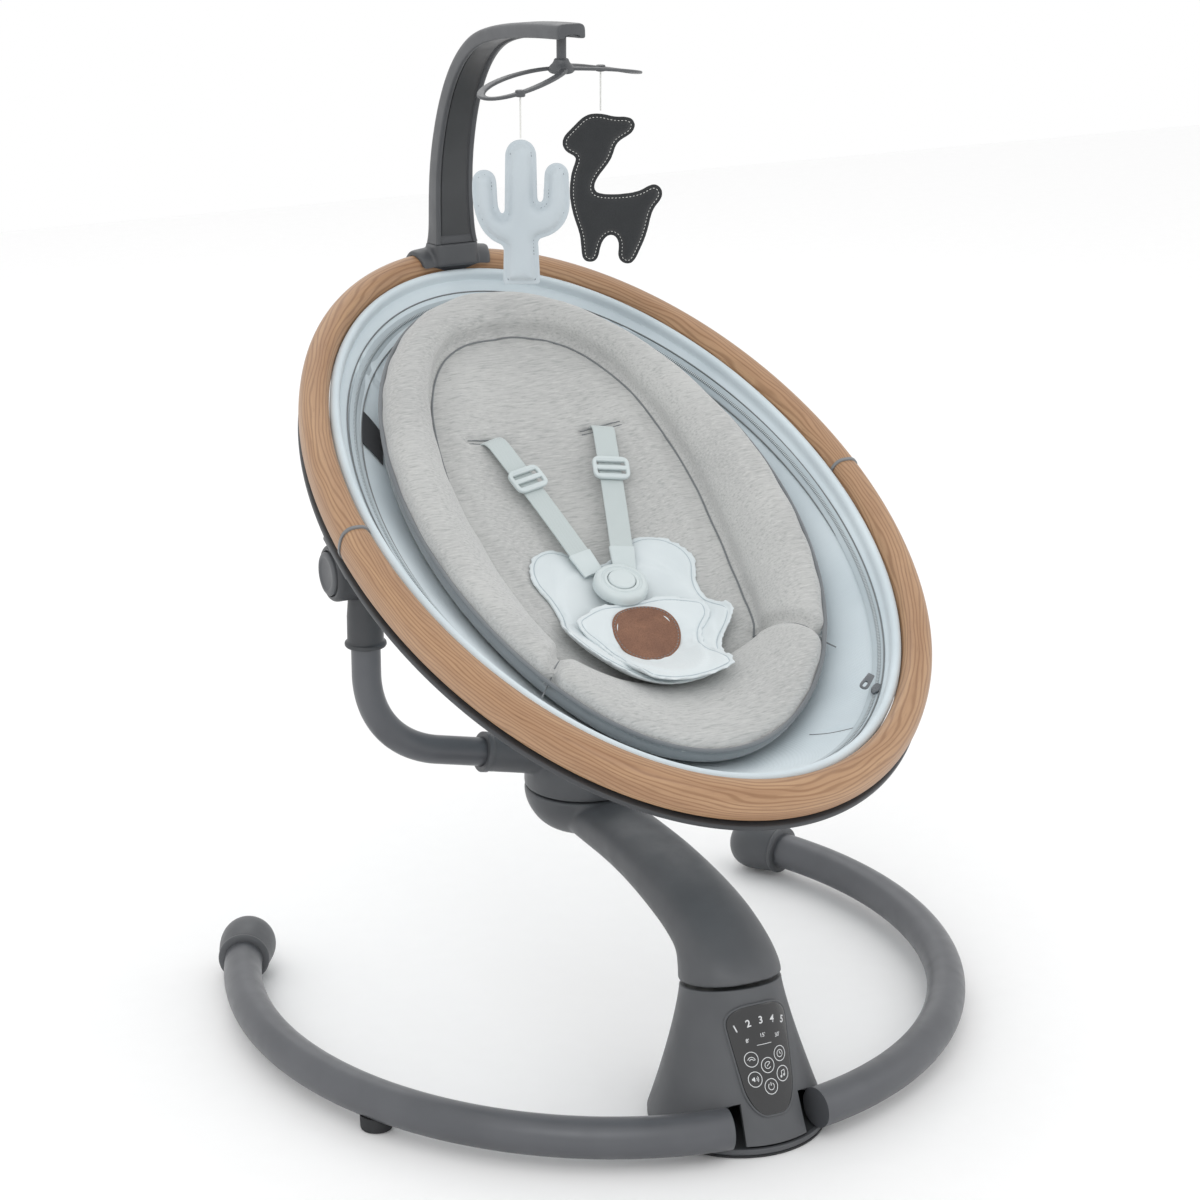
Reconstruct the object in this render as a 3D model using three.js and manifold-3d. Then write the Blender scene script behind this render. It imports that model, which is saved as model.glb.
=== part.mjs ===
// A powered baby swing: a C-shaped floor base with a motor housing at its front, an arm that sways the
// seat from side to side, a turntable with a tube yoke, an oval reclining seat with a wooden rim, a padded
// insert and a harness, and a removable toy bar. Millimetres, +Z up, the foot end of the seat faces -Y,
// and the origin is on the floor under the middle of the object.
import * as THREE from "three";
import * as BufferGeometryUtils from "three/addons/utils/BufferGeometryUtils.js";
import Module from "manifold-3d";

const wasm = await Module();
wasm.setup();

const RAD = Math.PI / 180;
const GAP = 0.4;

// ---- driving dimensions ---------------------------------------------------------------------------------
const LEG = { radius: 18.5, wall: 1.6, z: 28, halfX: 339.4, halfY: 362.9, centreY: 32.7, from: 7.5, to: 118 };
const CAP = { radius: 27.5, collar: 23.5, length: 62, overlap: 14 };
const FOOT = { radius: 15, height: 14, angle: 62 };
const BELL = { y: -262, height: 129, wall: 3.5, lean: 16, tilt: 13, shaftBore: 14 };
const SWING = { y: BELL.y + BELL.lean, z: BELL.height, tilt: BELL.tilt };
const HUB = { y: 52, seamZ: 211, bowlZ: 165, radius: 57.5, axisZ: 237 };
const YOKE = {
  radius: 13.7, wall: 1.8, buttonX: 84, x: 223, slope: 0.2236, bend: 90, collarZ: 390, socketEnd: 106,
};
const PIVOT = { y: 51.7, z: 460.3, radius: 26.5, knob: 20.2, outerX: 257, innerX: 213 };
const SEAT = { z: 503.5, tilt: 23.5, halfX: 252, halfY: 393.6, woodWide: 28, woodHigh: 36, divider: 3 };
const LINER = { halfX: 232, halfY: 373, depth: 138, power: 1.3, sink: 110, lip: 10, wall: 6 };
const INSERT = { halfX: 186, halfY: 305, centre: 16, clearance: 6, panel: 30, bolster: 50 };
const STRAP = { width: 22, thick: 2.4, topX: 60, topU: 140, endX: 16, endU: -28 };
const BUCKLE = { u: -52, radius: 26, thick: 11, button: 13 };
const ARCH = { baseY: 352, baseZ: 688, lean: 4 };
const HANGER = { y: 95, z: 899, pin: 4.5, pinTop: 29, reach: 104, across: 27, turn: 25, drop: 15 };
const STRING = { radius: 0.75, length: 38, along: 83 };
const TOY = { height: 145, cactus: 132, thick: 18 };
const CENTRE_Y = 2.58;

// ---- finishes -------------------------------------------------------------------------------------------
const FINISH = {
  graphite: { color: 0x6e7074, roughness: 0.5, metalness: 0.1 },
  darkPlastic: { color: 0x46484b, roughness: 0.55, metalness: 0 },
  archPlastic: { color: 0x54565a, roughness: 0.45, metalness: 0 },
  rubber: { color: 0x2b2c2e, roughness: 0.9, metalness: 0 },
  glassBlack: { color: 0x0b0c0d, roughness: 0.15, metalness: 0 },
  board: { color: 0x2d5a3a, roughness: 0.6, metalness: 0 },
  steel: { color: 0xb7babd, roughness: 0.3, metalness: 1 },
  gear: { color: 0xe8e4d8, roughness: 0.5, metalness: 0 },
  wood: { color: 0xb78a66, roughness: 0.5, metalness: 0 },
  ice: { color: 0xd3dde2, roughness: 0.9, metalness: 0 },
  heather: { color: 0xb4b6b5, roughness: 0.95, metalness: 0 },
  icePlastic: { color: 0xc6d0d2, roughness: 0.4, metalness: 0 },
  felt: { color: 0x37393b, roughness: 0.9, metalness: 0 },
  thread: { color: 0xf0f0ee, roughness: 0.8, metalness: 0 },
};

// Everything is drawn with the hub's line at Y = HUB.y, then slid so that the origin is under the middle.
const model = new THREE.Group();
model.position.y = -CENTRE_Y;

function addMesh(parent, name, geometry, finish) {
  const mesh = new THREE.Mesh(geometry, new THREE.MeshStandardMaterial(FINISH[finish]));
  mesh.name = name;
  parent.add(mesh);
  return mesh;
}

const V = (x, y, z) => new THREE.Vector3(x, y, z);

// ---- solid builders -------------------------------------------------------------------------------------

// The signed volume under the triangles: negative when the faces point inwards.
function signedVolume(position, index) {
  let volume = 0;
  const a = new THREE.Vector3();
  const b = new THREE.Vector3();
  const c = new THREE.Vector3();
  for (let i = 0; i < index.length; i += 3) {
    a.fromArray(position, index[i] * 3);
    b.fromArray(position, index[i + 1] * 3);
    c.fromArray(position, index[i + 2] * 3);
    volume += a.dot(b.cross(c)) / 6;
  }
  return volume;
}

function closedGeometry(points, triangles) {
  const position = points.flatMap((p) => [p.x, p.y, p.z]);
  if (signedVolume(position, triangles) < 0) {
    triangles.reverse();
  }
  const geometry = new THREE.BufferGeometry();
  geometry.setAttribute("position", new THREE.Float32BufferAttribute(position, 3));
  geometry.setIndex(triangles);
  return geometry;
}

// A body through a row of loops with equal numbers of points, closed by a fan on the first and last loop.
function loft(loops) {
  const count = loops[0].length;
  const points = loops.flat();
  const triangles = [];
  for (let i = 0; i + 1 < loops.length; i++) {
    for (let j = 0; j < count; j++) {
      const a = i * count + j;
      const b = i * count + ((j + 1) % count);
      triangles.push(a, b, a + count, b, b + count, a + count);
    }
  }
  for (const [loop, first] of [[loops[0], true], [loops[loops.length - 1], false]]) {
    const centre = loop.reduce((sum, p) => sum.add(p), V(0, 0, 0)).divideScalar(count);
    const hub = points.push(centre) - 1;
    const start = first ? 0 : (loops.length - 1) * count;
    for (let j = 0; j < count; j++) {
      const a = start + j;
      const b = start + ((j + 1) % count);
      triangles.push(...(first ? [b, a, hub] : [a, b, hub]));
    }
  }
  return closedGeometry(points, triangles);
}

// A thick sheet between two surfaces, each a function of (s, t) in 0..1.
function sheet(stepsS, stepsT, top, bottom) {
  const points = [];
  for (const surface of [top, bottom]) {
    for (let i = 0; i <= stepsS; i++) {
      for (let j = 0; j <= stepsT; j++) {
        points.push(surface(i / stepsS, j / stepsT));
      }
    }
  }
  const row = stepsT + 1;
  const half = (stepsS + 1) * row;
  const triangles = [];
  for (let i = 0; i < stepsS; i++) {
    for (let j = 0; j < stepsT; j++) {
      const a = i * row + j;
      triangles.push(a, a + row, a + 1, a + 1, a + row, a + row + 1);
      triangles.push(half + a, half + a + 1, half + a + row);
      triangles.push(half + a + 1, half + a + row + 1, half + a + row);
    }
  }
  const wall = (a, b) => triangles.push(a, b, a + half, b, b + half, a + half);
  for (let i = 0; i < stepsS; i++) {
    wall(i * row + row, i * row);
    wall(i * row + stepsT, i * row + row + stepsT);
  }
  for (let j = 0; j < stepsT; j++) {
    wall(j, j + 1);
    wall(stepsS * row + j + 1, stepsS * row + j);
  }
  return closedGeometry(points, triangles.reverse());
}

// A section carried along a curve: section(t) gives [side, up] pairs, and "up" stays near the given vector.
function sweep(curve, steps, section, upVector) {
  const loops = [];
  for (let i = 0; i <= steps; i++) {
    const t = i / steps;
    const origin = curve.getPoint(t);
    const tangent = curve.getTangent(t);
    const side = new THREE.Vector3().crossVectors(tangent, upVector).normalize();
    const up = new THREE.Vector3().crossVectors(side, tangent);
    loops.push(section(t).map(([a, b]) => origin.clone().addScaledVector(side, a).addScaledVector(up, b)));
  }
  return loft(loops);
}

// A rounded rectangle of the given width and height as points; power 2 is an ellipse, higher is squarer.
function roundedSection(width, height, sides, power = 3) {
  const points = [];
  for (let i = 0; i < sides; i++) {
    const angle = (i / sides) * 2 * Math.PI;
    const c = Math.cos(angle);
    const s = Math.sin(angle);
    const x = Math.sign(c) * Math.abs(c) ** (2 / power);
    const y = Math.sign(s) * Math.abs(s) ** (2 / power);
    points.push([(x * width) / 2, (y * height) / 2]);
  }
  return points;
}

function circleShape(radius, sides) {
  const shape = new THREE.Shape();
  for (let i = 0; i < sides; i++) {
    const angle = (i / sides) * 2 * Math.PI;
    shape[i ? "lineTo" : "moveTo"](radius * Math.cos(angle), radius * Math.sin(angle));
  }
  shape.closePath();
  return shape;
}

function rodAlong(curve, radius, sides, steps) {
  return new THREE.ExtrudeGeometry(circleShape(radius, sides), { steps, extrudePath: curve });
}

// A real tube: the wall is open at both ends.
function tubeAlong(curve, radius, wall, sides, steps) {
  const shape = circleShape(radius, sides);
  shape.holes.push(circleShape(radius - wall, sides));
  return new THREE.ExtrudeGeometry(shape, { steps, extrudePath: curve });
}

// A turned part: profile points are [radius, height], and the axis is Z.
function turned(profile, segments = 20) {
  const points = profile.map(([r, h]) => new THREE.Vector2(r, h));
  const closed = profile[0][0] !== 0 || profile[profile.length - 1][0] !== 0;
  if (closed) {
    points.push(points[0].clone());
  }
  return new THREE.LatheGeometry(points, segments).rotateX(Math.PI / 2);
}

const rod = (radius, z0, z1, segments = 16) => (
  turned([[0, z0], [radius, z0], [radius, z1], [0, z1]], segments)
);

function toSolid(geometry) {
  const bare = geometry.clone();
  bare.deleteAttribute("normal");
  bare.deleteAttribute("uv");
  const merged = BufferGeometryUtils.mergeVertices(bare, 1e-4);
  const position = merged.attributes.position.array;
  const index = [];
  for (let i = 0; i < merged.index.count; i += 3) {
    const [a, b, c] = [merged.index.getX(i), merged.index.getX(i + 1), merged.index.getX(i + 2)];
    if (a !== b && b !== c && a !== c) {
      index.push(a, b, c);
    }
  }
  if (signedVolume(position, index) < 0) {
    index.reverse();
  }
  const mesh = new wasm.Mesh({
    numProp: 3,
    vertProperties: new Float32Array(position),
    triVerts: new Uint32Array(index),
  });
  return new wasm.Manifold(mesh);
}

function toGeometry(solid) {
  const { vertProperties, triVerts } = solid.getMesh();
  const geometry = new THREE.BufferGeometry();
  geometry.setAttribute("position", new THREE.BufferAttribute(new Float32Array(vertProperties), 3));
  geometry.setIndex(new THREE.BufferAttribute(new Uint32Array(triVerts), 1));
  return geometry;
}

const join = (...parts) => toGeometry(parts.map(toSolid).reduce((a, b) => a.add(b)));
const cut = (body, ...tools) => toGeometry(tools.map(toSolid).reduce((a, b) => a.subtract(b), toSolid(body)));

// The part of a curve that a function of t describes, t in 0..1.
class FormulaCurve extends THREE.Curve {
  constructor(formula) {
    super();
    this.formula = formula;
  }

  getPoint(t, target = new THREE.Vector3()) {
    return target.copy(this.formula(t));
  }
}

// ---- base: legs, end caps and feet ----------------------------------------------------------------------

const legPoint = (side, degrees) => V(
  side * LEG.halfX * Math.sin(degrees * RAD),
  LEG.centreY - LEG.halfY * Math.cos(degrees * RAD),
  LEG.z,
);

const legCurve = (side, from, to) => new FormulaCurve((t) => legPoint(side, from + (to - from) * t));

function buildLeg(side) {
  return tubeAlong(legCurve(side, LEG.from, LEG.to), LEG.radius, LEG.wall, 12, 15);
}

// A bulbous plug on the end of a leg: a collar over the tube, swelling to a round nose.
function buildEndCap(side) {
  const degreesPerMm = 360 / (Math.PI * (LEG.halfX + LEG.halfY));
  const from = LEG.to - CAP.overlap * degreesPerMm;
  const curve = legCurve(side, from, from + CAP.length * degreesPerMm);
  const radiusAt = (t) => {
    const nose = Math.sqrt(Math.max(0, 1 - Math.max(0, (t - 0.5) / 0.5) ** 2.6));
    const swell = CAP.collar + (CAP.radius - CAP.collar) * Math.sin(Math.min(1, t / 0.6) * Math.PI / 2);
    return Math.max(0.5, swell * nose);
  };
  const stations = [0, 0.08, 0.2, 0.35, 0.5, 0.65, 0.78, 0.88, 0.95, 0.985, 1];
  const loops = stations.map((t) => {
    const origin = curve.getPoint(t);
    const tangent = curve.getTangent(Math.min(t, 0.999));
    const across = new THREE.Vector3().crossVectors(tangent, V(0, 0, 1)).normalize();
    return roundedSection(2 * radiusAt(t), 2 * radiusAt(t), 14, 2).map(([a, b]) => (
      origin.clone().addScaledVector(across, a).addScaledVector(V(0, 0, 1), b)
    ));
  });
  return cut(loft(loops), rodAlong(legCurve(side, LEG.to - 20, LEG.to + 0.1), LEG.radius + 2 * GAP, 12, 6));
}

// A rubber foot under the middle of a leg, hollowed to the tube.
function buildLegFoot(side) {
  const centre = legPoint(side, FOOT.angle);
  const block = rod(FOOT.radius, 0, FOOT.height, 16).translate(centre.x, centre.y, 0);
  const tube = rodAlong(legCurve(side, FOOT.angle - 8, FOOT.angle + 8), LEG.radius + GAP, 12, 4);
  return cut(block, tube);
}

const base = new THREE.Group();
model.add(base);
for (const [side, word] of [[-1, "left"], [1, "right"]]) {
  addMesh(base, `base_leg_${word}`, buildLeg(side), "graphite");
  addMesh(base, `leg_end_cap_${word}`, buildEndCap(side), "graphite");
  addMesh(base, `leg_foot_${word}`, buildLegFoot(side), "rubber");
}

// ---- base: motor housing --------------------------------------------------------------------------------

// Outer radius of the bell at a height before it leans.
const bellRadius = (z) => 45.5 + 38.5 * (1 - z / BELL.height) ** 1.25;

// Leans the bell back and tilts its top square to the swing axis.
function leanPoint(p) {
  const k = p.z / BELL.height;
  return V(p.x, BELL.y + p.y + BELL.lean * k, p.z - k * Math.tan(BELL.tilt * RAD) * p.y);
}

function leanGeometry(geometry) {
  const position = geometry.attributes.position;
  for (let i = 0; i < position.count; i++) {
    const p = leanPoint(V(position.getX(i), position.getY(i), position.getZ(i)));
    position.setXYZ(i, p.x, p.y, p.z);
  }
  return geometry;
}

const bellPoint = (degrees, z, offset) => {
  const r = bellRadius(z) + offset;
  return leanPoint(V(r * Math.sin(degrees * RAD), -r * Math.cos(degrees * RAD), z));
};

function buildMotorHousing() {
  const top = BELL.height;
  const levels = [3.4, 14, 28, 46, 66, 88, 108, top];
  const outer = levels.map((z) => [bellRadius(z), z]);
  const inner = levels.map((z) => [bellRadius(z) - BELL.wall, Math.min(z, top - BELL.wall)]).reverse();
  const profile = [...outer, [BELL.shaftBore, top], [BELL.shaftBore, top - BELL.wall], ...inner];
  const shell = leanGeometry(turned(profile, 28));
  const legHoles = [-1, 1].map((side) => rodAlong(legCurve(side, 5, 30), LEG.radius + 2 * GAP, 12, 5));
  const inletHole = rod(7.4, -20, 20, 20).rotateX(Math.PI / 2).translate(0, BELL.y + 80, 30);
  return cut(shell, ...legHoles, inletHole);
}

function buildBasePlate() {
  const profile = [[0, 2.3], [83, 2.3], [83, 2.7], [78.5, 2.7], [78, 5.7], [0, 5.7]];
  return turned(profile, 28).translate(0, BELL.y, 0);
}

// A rubber ring under the housing, the ground contact at the front.
function buildHousingFootRing() {
  return turned([[66, 0], [80, 0], [80, 2], [66, 2]], 28).translate(0, BELL.y, 0);
}

// A shield-shaped touch panel that follows the front of the bell: wide at the top, round at the foot.
const PANEL = { low: 30, high: 116, thick: 2.4, lift: 1.4, foot: 0.3, brow: 0.22 };

function panelHalfWidth(s) {
  const low = 1 - (1 - Math.min(1, s / PANEL.foot)) ** 2.4;
  const high = 1 - Math.max(0, (s - 1 + PANEL.brow) / PANEL.brow) ** 2.4;
  return 5 + (17 + 11 * s) * Math.sqrt(low * high);
}

function buildControlPanel() {
  const at = (offset) => (s, t) => {
    const z = PANEL.low + (PANEL.high - PANEL.low) * s;
    return bellPoint(((2 * t - 1) * panelHalfWidth(s)) / bellRadius(z) / RAD, z, offset);
  };
  return sheet(14, 8, at(GAP + PANEL.thick), at(PANEL.lift));
}

addMesh(base, "motor_housing", buildMotorHousing(), "graphite");
addMesh(base, "housing_base_plate", buildBasePlate(), "darkPlastic");
addMesh(base, "housing_foot_ring", buildHousingFootRing(), "rubber");
addMesh(base, "control_panel", buildControlPanel(), "glassBlack");

// ---- base: what the housing holds -----------------------------------------------------------------------

// Local Z of this group is the swing axis, with its origin at the top of the housing.
const drive = new THREE.Group();
drive.position.set(0, SWING.y, SWING.z);
drive.rotation.x = -SWING.tilt * RAD;
model.add(drive);

const GEAR = { z: -46, thick: 7, radius: 30, module: 1.5, spread: 50, centre: 36.6, pinion: 4.2 };

// A toothed wheel or sector: teeth stand one module out of the pitch circle and one module in.
function gearShape(radius, module, from, to, closeToCentre, bore) {
  const teeth = Math.round(((to - from) * RAD * radius) / (Math.PI * module));
  const shape = new THREE.Shape();
  const points = closeToCentre ? [[0, 0]] : [];
  for (let i = 0; i < teeth; i++) {
    const step = (to - from) / teeth;
    [[0, -1], [0.2, 0.8], [0.5, 0.8], [0.7, -1]].forEach(([f, k]) => {
      const angle = (from + (i + f) * step) * RAD;
      points.push([(radius + k * module) * Math.cos(angle), (radius + k * module) * Math.sin(angle)]);
    });
  }
  points.forEach(([x, y], i) => shape[i ? "lineTo" : "moveTo"](x, y));
  shape.closePath();
  if (bore) {
    shape.holes.push(new THREE.Path().absarc(0, 0, bore, 0, 2 * Math.PI, true));
  }
  return shape;
}

const extruded = (shape, z0, depth, curveSegments = 12) => (
  new THREE.ExtrudeGeometry(shape, { depth, bevelEnabled: false, curveSegments }).translate(0, 0, z0)
);

function buildSectorGear() {
  const teeth = gearShape(GEAR.radius, GEAR.module, -GEAR.spread, GEAR.spread, true, 0);
  const sector = extruded(teeth, 0, GEAR.thick);
  const hub = rod(14, 0, GEAR.thick, 28);
  const solid = cut(join(sector, hub), rod(7 + GAP, -5, 20, 24));
  return solid.translate(0, 0, GEAR.z);
}

function buildPinion() {
  const teeth = gearShape(GEAR.pinion, 1, 0, 360, false, 2.2);
  return extruded(teeth, 0, GEAR.thick, 8);
}

addMesh(drive, "swing_shaft", rod(7, -84, 6), "steel");
addMesh(drive, "sector_gear", buildSectorGear(), "gear");
const pinion = addMesh(drive, "motor_pinion", buildPinion(), "gear");
pinion.position.set(GEAR.centre, 0, GEAR.z);

const ringBearing = (inner, outer, z0, z1) => (
  turned([[inner, z0], [outer, z0], [outer, z1], [inner, z1]], 20)
);
addMesh(drive, "shaft_bearing_upper", ringBearing(7 + GAP, BELL.shaftBore - GAP, -8, 0), "steel");
addMesh(drive, "shaft_bearing_lower", ringBearing(7 + GAP, 12, -82, -75), "steel");

// The motor hangs under the gears with its shaft up through the pinion.
function buildMotor() {
  const can = [[0, -84], [10, -84], [11, -82], [11, -54], [5, -54], [5, -51]];
  const shaft = [[1.8, -51], [1.8, -40], [0, -40]];
  return turned([...can, ...shaft], 18);
}
const motor = addMesh(drive, "drive_motor", buildMotor(), "steel");
motor.position.x = GEAR.centre;

// A moulded tray that carries the lower bearing and the motor on posts from the base plate.
function buildDriveFrame() {
  const plate = rod(40, -90, -85.5, 24);
  const cup = turned([[12 + GAP, -86], [16, -86], [16, -74], [12 + GAP, -74]], 20);
  const clampCup = turned([[11 + GAP, -86], [13.5, -86], [13.5, -66], [11 + GAP, -66]], 20);
  return join(plate, cup, clampCup.translate(GEAR.centre, 0, 0));
}
addMesh(drive, "drive_frame", buildDriveFrame(), "darkPlastic");

function buildControlBoard() {
  return new THREE.BoxGeometry(40, 1.6, 44).rotateX(-20 * RAD).translate(0, BELL.y - 38, 70);
}
addMesh(base, "control_board", buildControlBoard(), "board");

function buildSpeaker() {
  const profile = [[0, 8], [16, 8], [18, 10], [18, 13], [9, 21], [9, 27], [0, 27]];
  return turned(profile, 20).translate(-20, BELL.y + 38, 0);
}
addMesh(base, "speaker", buildSpeaker(), "darkPlastic");

// The socket for the power lead at the back of the housing.
function buildPowerInlet() {
  const barrel = turned([[3, -12], [7, -12], [7, 6], [9.5, 6], [9.5, 7.5], [3, 7.5]], 20);
  const back = rod(6.9, -14, -12.4, 20);
  return join(barrel, back.translate(0, 0, 0.8)).rotateX(-Math.PI / 2).translate(0, BELL.y + 81, 30);
}
addMesh(base, "power_inlet", buildPowerInlet(), "darkPlastic");

// ---- swing arm ------------------------------------------------------------------------------------------

const HOUSING_GAP = 3;

// A big oval arm from the housing top, bending back to a bowl under the turntable.
function buildSwingArm() {
  const s = Math.sin(SWING.tilt * RAD);
  const c = Math.cos(SWING.tilt * RAD);
  const start = V(0, SWING.y + HOUSING_GAP * s, SWING.z + HOUSING_GAP * c);
  const stations = [
    [start, 0, 90, 90],
    [V(0, start.y + 3.5, start.z + 12), -2, 88, 86],
    [V(0, -230, 158), 14, 84, 76],
    [V(0, -200, 171), 38, 79, 64],
    [V(0, -160, 180), 60, 75, 55],
    [V(0, -110, 187), 72, 72, 49],
    [V(0, -60, 190), 80, 70, 45],
    [V(0, -10, 190), 86, 70, 42],
    [V(0, 30, 189), 90, 68, 40],
  ];
  const loops = stations.map(([origin, bend, wide, high]) => {
    const angle = (bend + (bend < 1 ? SWING.tilt : 0)) * RAD;
    const up = V(0, -Math.cos(angle), Math.sin(angle));
    return roundedSection(wide, high, 18, 2.3).map(([a, b]) => (
      origin.clone().add(V(a, 0, 0)).addScaledVector(up, b)
    ));
  });
  const h = HUB.seamZ - HUB.bowlZ;
  const r = HUB.radius;
  const bowl = turned([[0, 0], [20, 1], [36, 6], [48, 16], [55, 30], [r, h - 4], [r, h], [0, h]], 28);
  const bowlPlaced = bowl.translate(0, HUB.y, HUB.bowlZ);
  const axleWell = rod(24 + GAP, HUB.seamZ - 18, HUB.seamZ + 5, 28).translate(0, HUB.y, 0);
  const shaftWell = rod(7 + GAP, -5, 6.5, 24).rotateX(-SWING.tilt * RAD).translate(0, SWING.y, SWING.z);
  return cut(join(loft(loops), bowlPlaced), axleWell, shaftWell);
}
addMesh(model, "swing_arm", buildSwingArm(), "graphite");

// ---- turntable and yoke ---------------------------------------------------------------------------------

const turntable = new THREE.Group();
turntable.position.set(0, HUB.y, 0);
model.add(turntable);

const yokeLineZ = (x) => HUB.axisZ + YOKE.slope * Math.abs(x);

const buttonHole = (side) => {
  const z = yokeLineZ(YOKE.buttonX);
  return rod(4.5 + GAP, z + 5, z + 30, 12).translate(side * YOKE.buttonX, 0, 0);
};

function socketCurve(side, x0, x1) {
  return new THREE.LineCurve3(V(side * x0, 0, yokeLineZ(x0)), V(side * x1, 0, yokeLineZ(x1)));
}

// The hub block: a low drum with a socket arm on each side and a spigot down into the bowl.
function buildTurntableHub() {
  const z = HUB.seamZ;
  const r = HUB.radius;
  const drum = turned([
    [0, z + 1.2], [r, z + 1.2], [r, z + 14], [r - 2, z + 26], [r - 8, z + 37], [r - 20, z + 44], [0, z + 47],
  ], 28);
  const spigot = rod(19, z - 17.5, z + 3, 28);
  const sockets = [-1, 1].map((side) => rodAlong(socketCurve(side, 10, YOKE.socketEnd), 18, 16, 1));
  const bores = [-1, 1].map((side) => (
    rodAlong(socketCurve(side, 62, YOKE.socketEnd + 5), YOKE.radius + GAP, 12, 1)
  ));
  return cut(join(drum, spigot, ...sockets), ...bores, buttonHole(-1), buttonHole(1));
}
addMesh(turntable, "turntable_hub", buildTurntableHub(), "graphite");

const bearingRing = ringBearing(19 + GAP, 24, HUB.seamZ - 12, HUB.seamZ - 2);
addMesh(model, "turntable_bearing", bearingRing.translate(0, HUB.y, 0), "gear");

// The tube from a socket, round the bend and up to the pivot.
function yokeCurve(side) {
  const length = Math.hypot(1, YOKE.slope);
  const reach = YOKE.bend * Math.tan(38.7 * RAD);
  const cornerZ = yokeLineZ(YOKE.x);
  const bendX = YOKE.x - reach / length;
  const path = new THREE.CurvePath();
  const start = V(side * 64, 0, yokeLineZ(64));
  const bendIn = V(side * bendX, 0, yokeLineZ(bendX));
  const corner = V(side * YOKE.x, 0, cornerZ);
  const bendOut = V(side * YOKE.x, 0, cornerZ + reach);
  const k = 0.62;
  path.add(new THREE.LineCurve3(start, bendIn));
  path.add(new THREE.CubicBezierCurve3(
    bendIn,
    bendIn.clone().lerp(corner, k),
    bendOut.clone().lerp(corner, k),
    bendOut,
  ));
  path.add(new THREE.LineCurve3(bendOut, V(side * YOKE.x, 0, 428)));
  return path;
}

// The cap screwed onto the top of the yoke tube, with a rim at its foot; its head is hollowed to the pivot.
function buildYokeSleeve(side) {
  const r = YOKE.radius + GAP;
  const z = YOKE.collarZ;
  const sleeve = turned([
    [r, z - 4], [19, z - 4], [19.5, z - 2], [19, z], [16.8, z + 1], [17, 446], [r, 446],
  ], 18).translate(side * YOKE.x, 0, 0);
  const pivotClear = rod(PIVOT.radius + GAP, -60, 60, 32).rotateY(Math.PI / 2);
  return cut(sleeve, pivotClear.translate(side * YOKE.x, PIVOT.y - HUB.y, PIVOT.z));
}

// The round housing at the top of the yoke: a recess outside for the knob and a bore inside for the journal.
function buildPivotHousing(side) {
  const deep = PIVOT.outerX - PIVOT.innerX;
  const r = PIVOT.radius;
  const profile = [
    [0, 22], [10, 22], [10, 0], [r - 1.5, 0], [r, 1.5], [r, deep - 3], [r - 2.5, deep],
    [PIVOT.knob + 1, deep], [PIVOT.knob + 0.6, deep - 10], [0, deep - 10],
  ];
  const housing = turned(profile, 22).rotateY(side * Math.PI / 2);
  return housing.translate(side * PIVOT.innerX, PIVOT.y - HUB.y, PIVOT.z);
}

function buildRecliningKnob(side) {
  const r = PIVOT.knob;
  const knob = turned([
    [0, 0], [r - 1, 0], [r, 1], [r, 6.5], [r - 1.8, 8], [r - 5, 8], [r - 6, 7], [0, 6.6],
  ], 20).rotateY(side * Math.PI / 2);
  return knob.translate(side * (PIVOT.outerX - 4.5), PIVOT.y - HUB.y, PIVOT.z);
}

// The button of the spring clip inside the tube; it stands through the tube and the socket.
function buildSpringButton(side) {
  const z = yokeLineZ(YOKE.buttonX) + YOKE.radius - 3;
  const profile = [[0, z], [4.5, z], [4.5, z + 8.4], [3.2, z + 9.4], [0, z + 9.6]];
  return turned(profile, 12).translate(side * YOKE.buttonX, 0, 0);
}

const buildYokeTube = (side) => (
  cut(tubeAlong(yokeCurve(side), YOKE.radius, YOKE.wall, 12, 16), buttonHole(side))
);

for (const [side, word] of [[-1, "left"], [1, "right"]]) {
  addMesh(turntable, `yoke_tube_${word}`, buildYokeTube(side), "graphite");
  addMesh(turntable, `yoke_sleeve_${word}`, buildYokeSleeve(side), "darkPlastic");
  addMesh(turntable, `pivot_housing_${word}`, buildPivotHousing(side), "darkPlastic");
  addMesh(turntable, `recline_button_${word}`, buildRecliningKnob(side), "graphite");
  addMesh(turntable, `yoke_spring_button_${word}`, buildSpringButton(side), "steel");
}

// ---- seat: rim ------------------------------------------------------------------------------------------

// In this group X is across the seat, Y runs to the head end and Z stands off the plane of the rim.
const seat = new THREE.Group();
seat.position.set(0, 0, SEAT.z);
seat.rotation.x = SEAT.tilt * RAD;
model.add(seat);

const toSeat = (y, z) => {
  const dz = z - SEAT.z;
  const c = Math.cos(SEAT.tilt * RAD);
  const s = Math.sin(SEAT.tilt * RAD);
  return [y * c + dz * s, -y * s + dz * c];
};

// The rim's centre line; degrees run from the head end towards +X.
function rimCurve(from, to, lift = 0) {
  return new FormulaCurve((t) => {
    const angle = (from + (to - from) * t) * RAD;
    return V(SEAT.halfX * Math.sin(angle), SEAT.halfY * Math.cos(angle), lift);
  });
}

const dividerTurn = ((SEAT.divider / 2 + 0.3) / SEAT.halfY) / RAD;

function buildRimHalf(from, to) {
  const section = roundedSection(SEAT.woodWide, SEAT.woodHigh, 12, 2.6);
  return sweep(rimCurve(from + dividerTurn, to - dividerTurn), 22, () => section, V(0, 0, 1));
}

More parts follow.
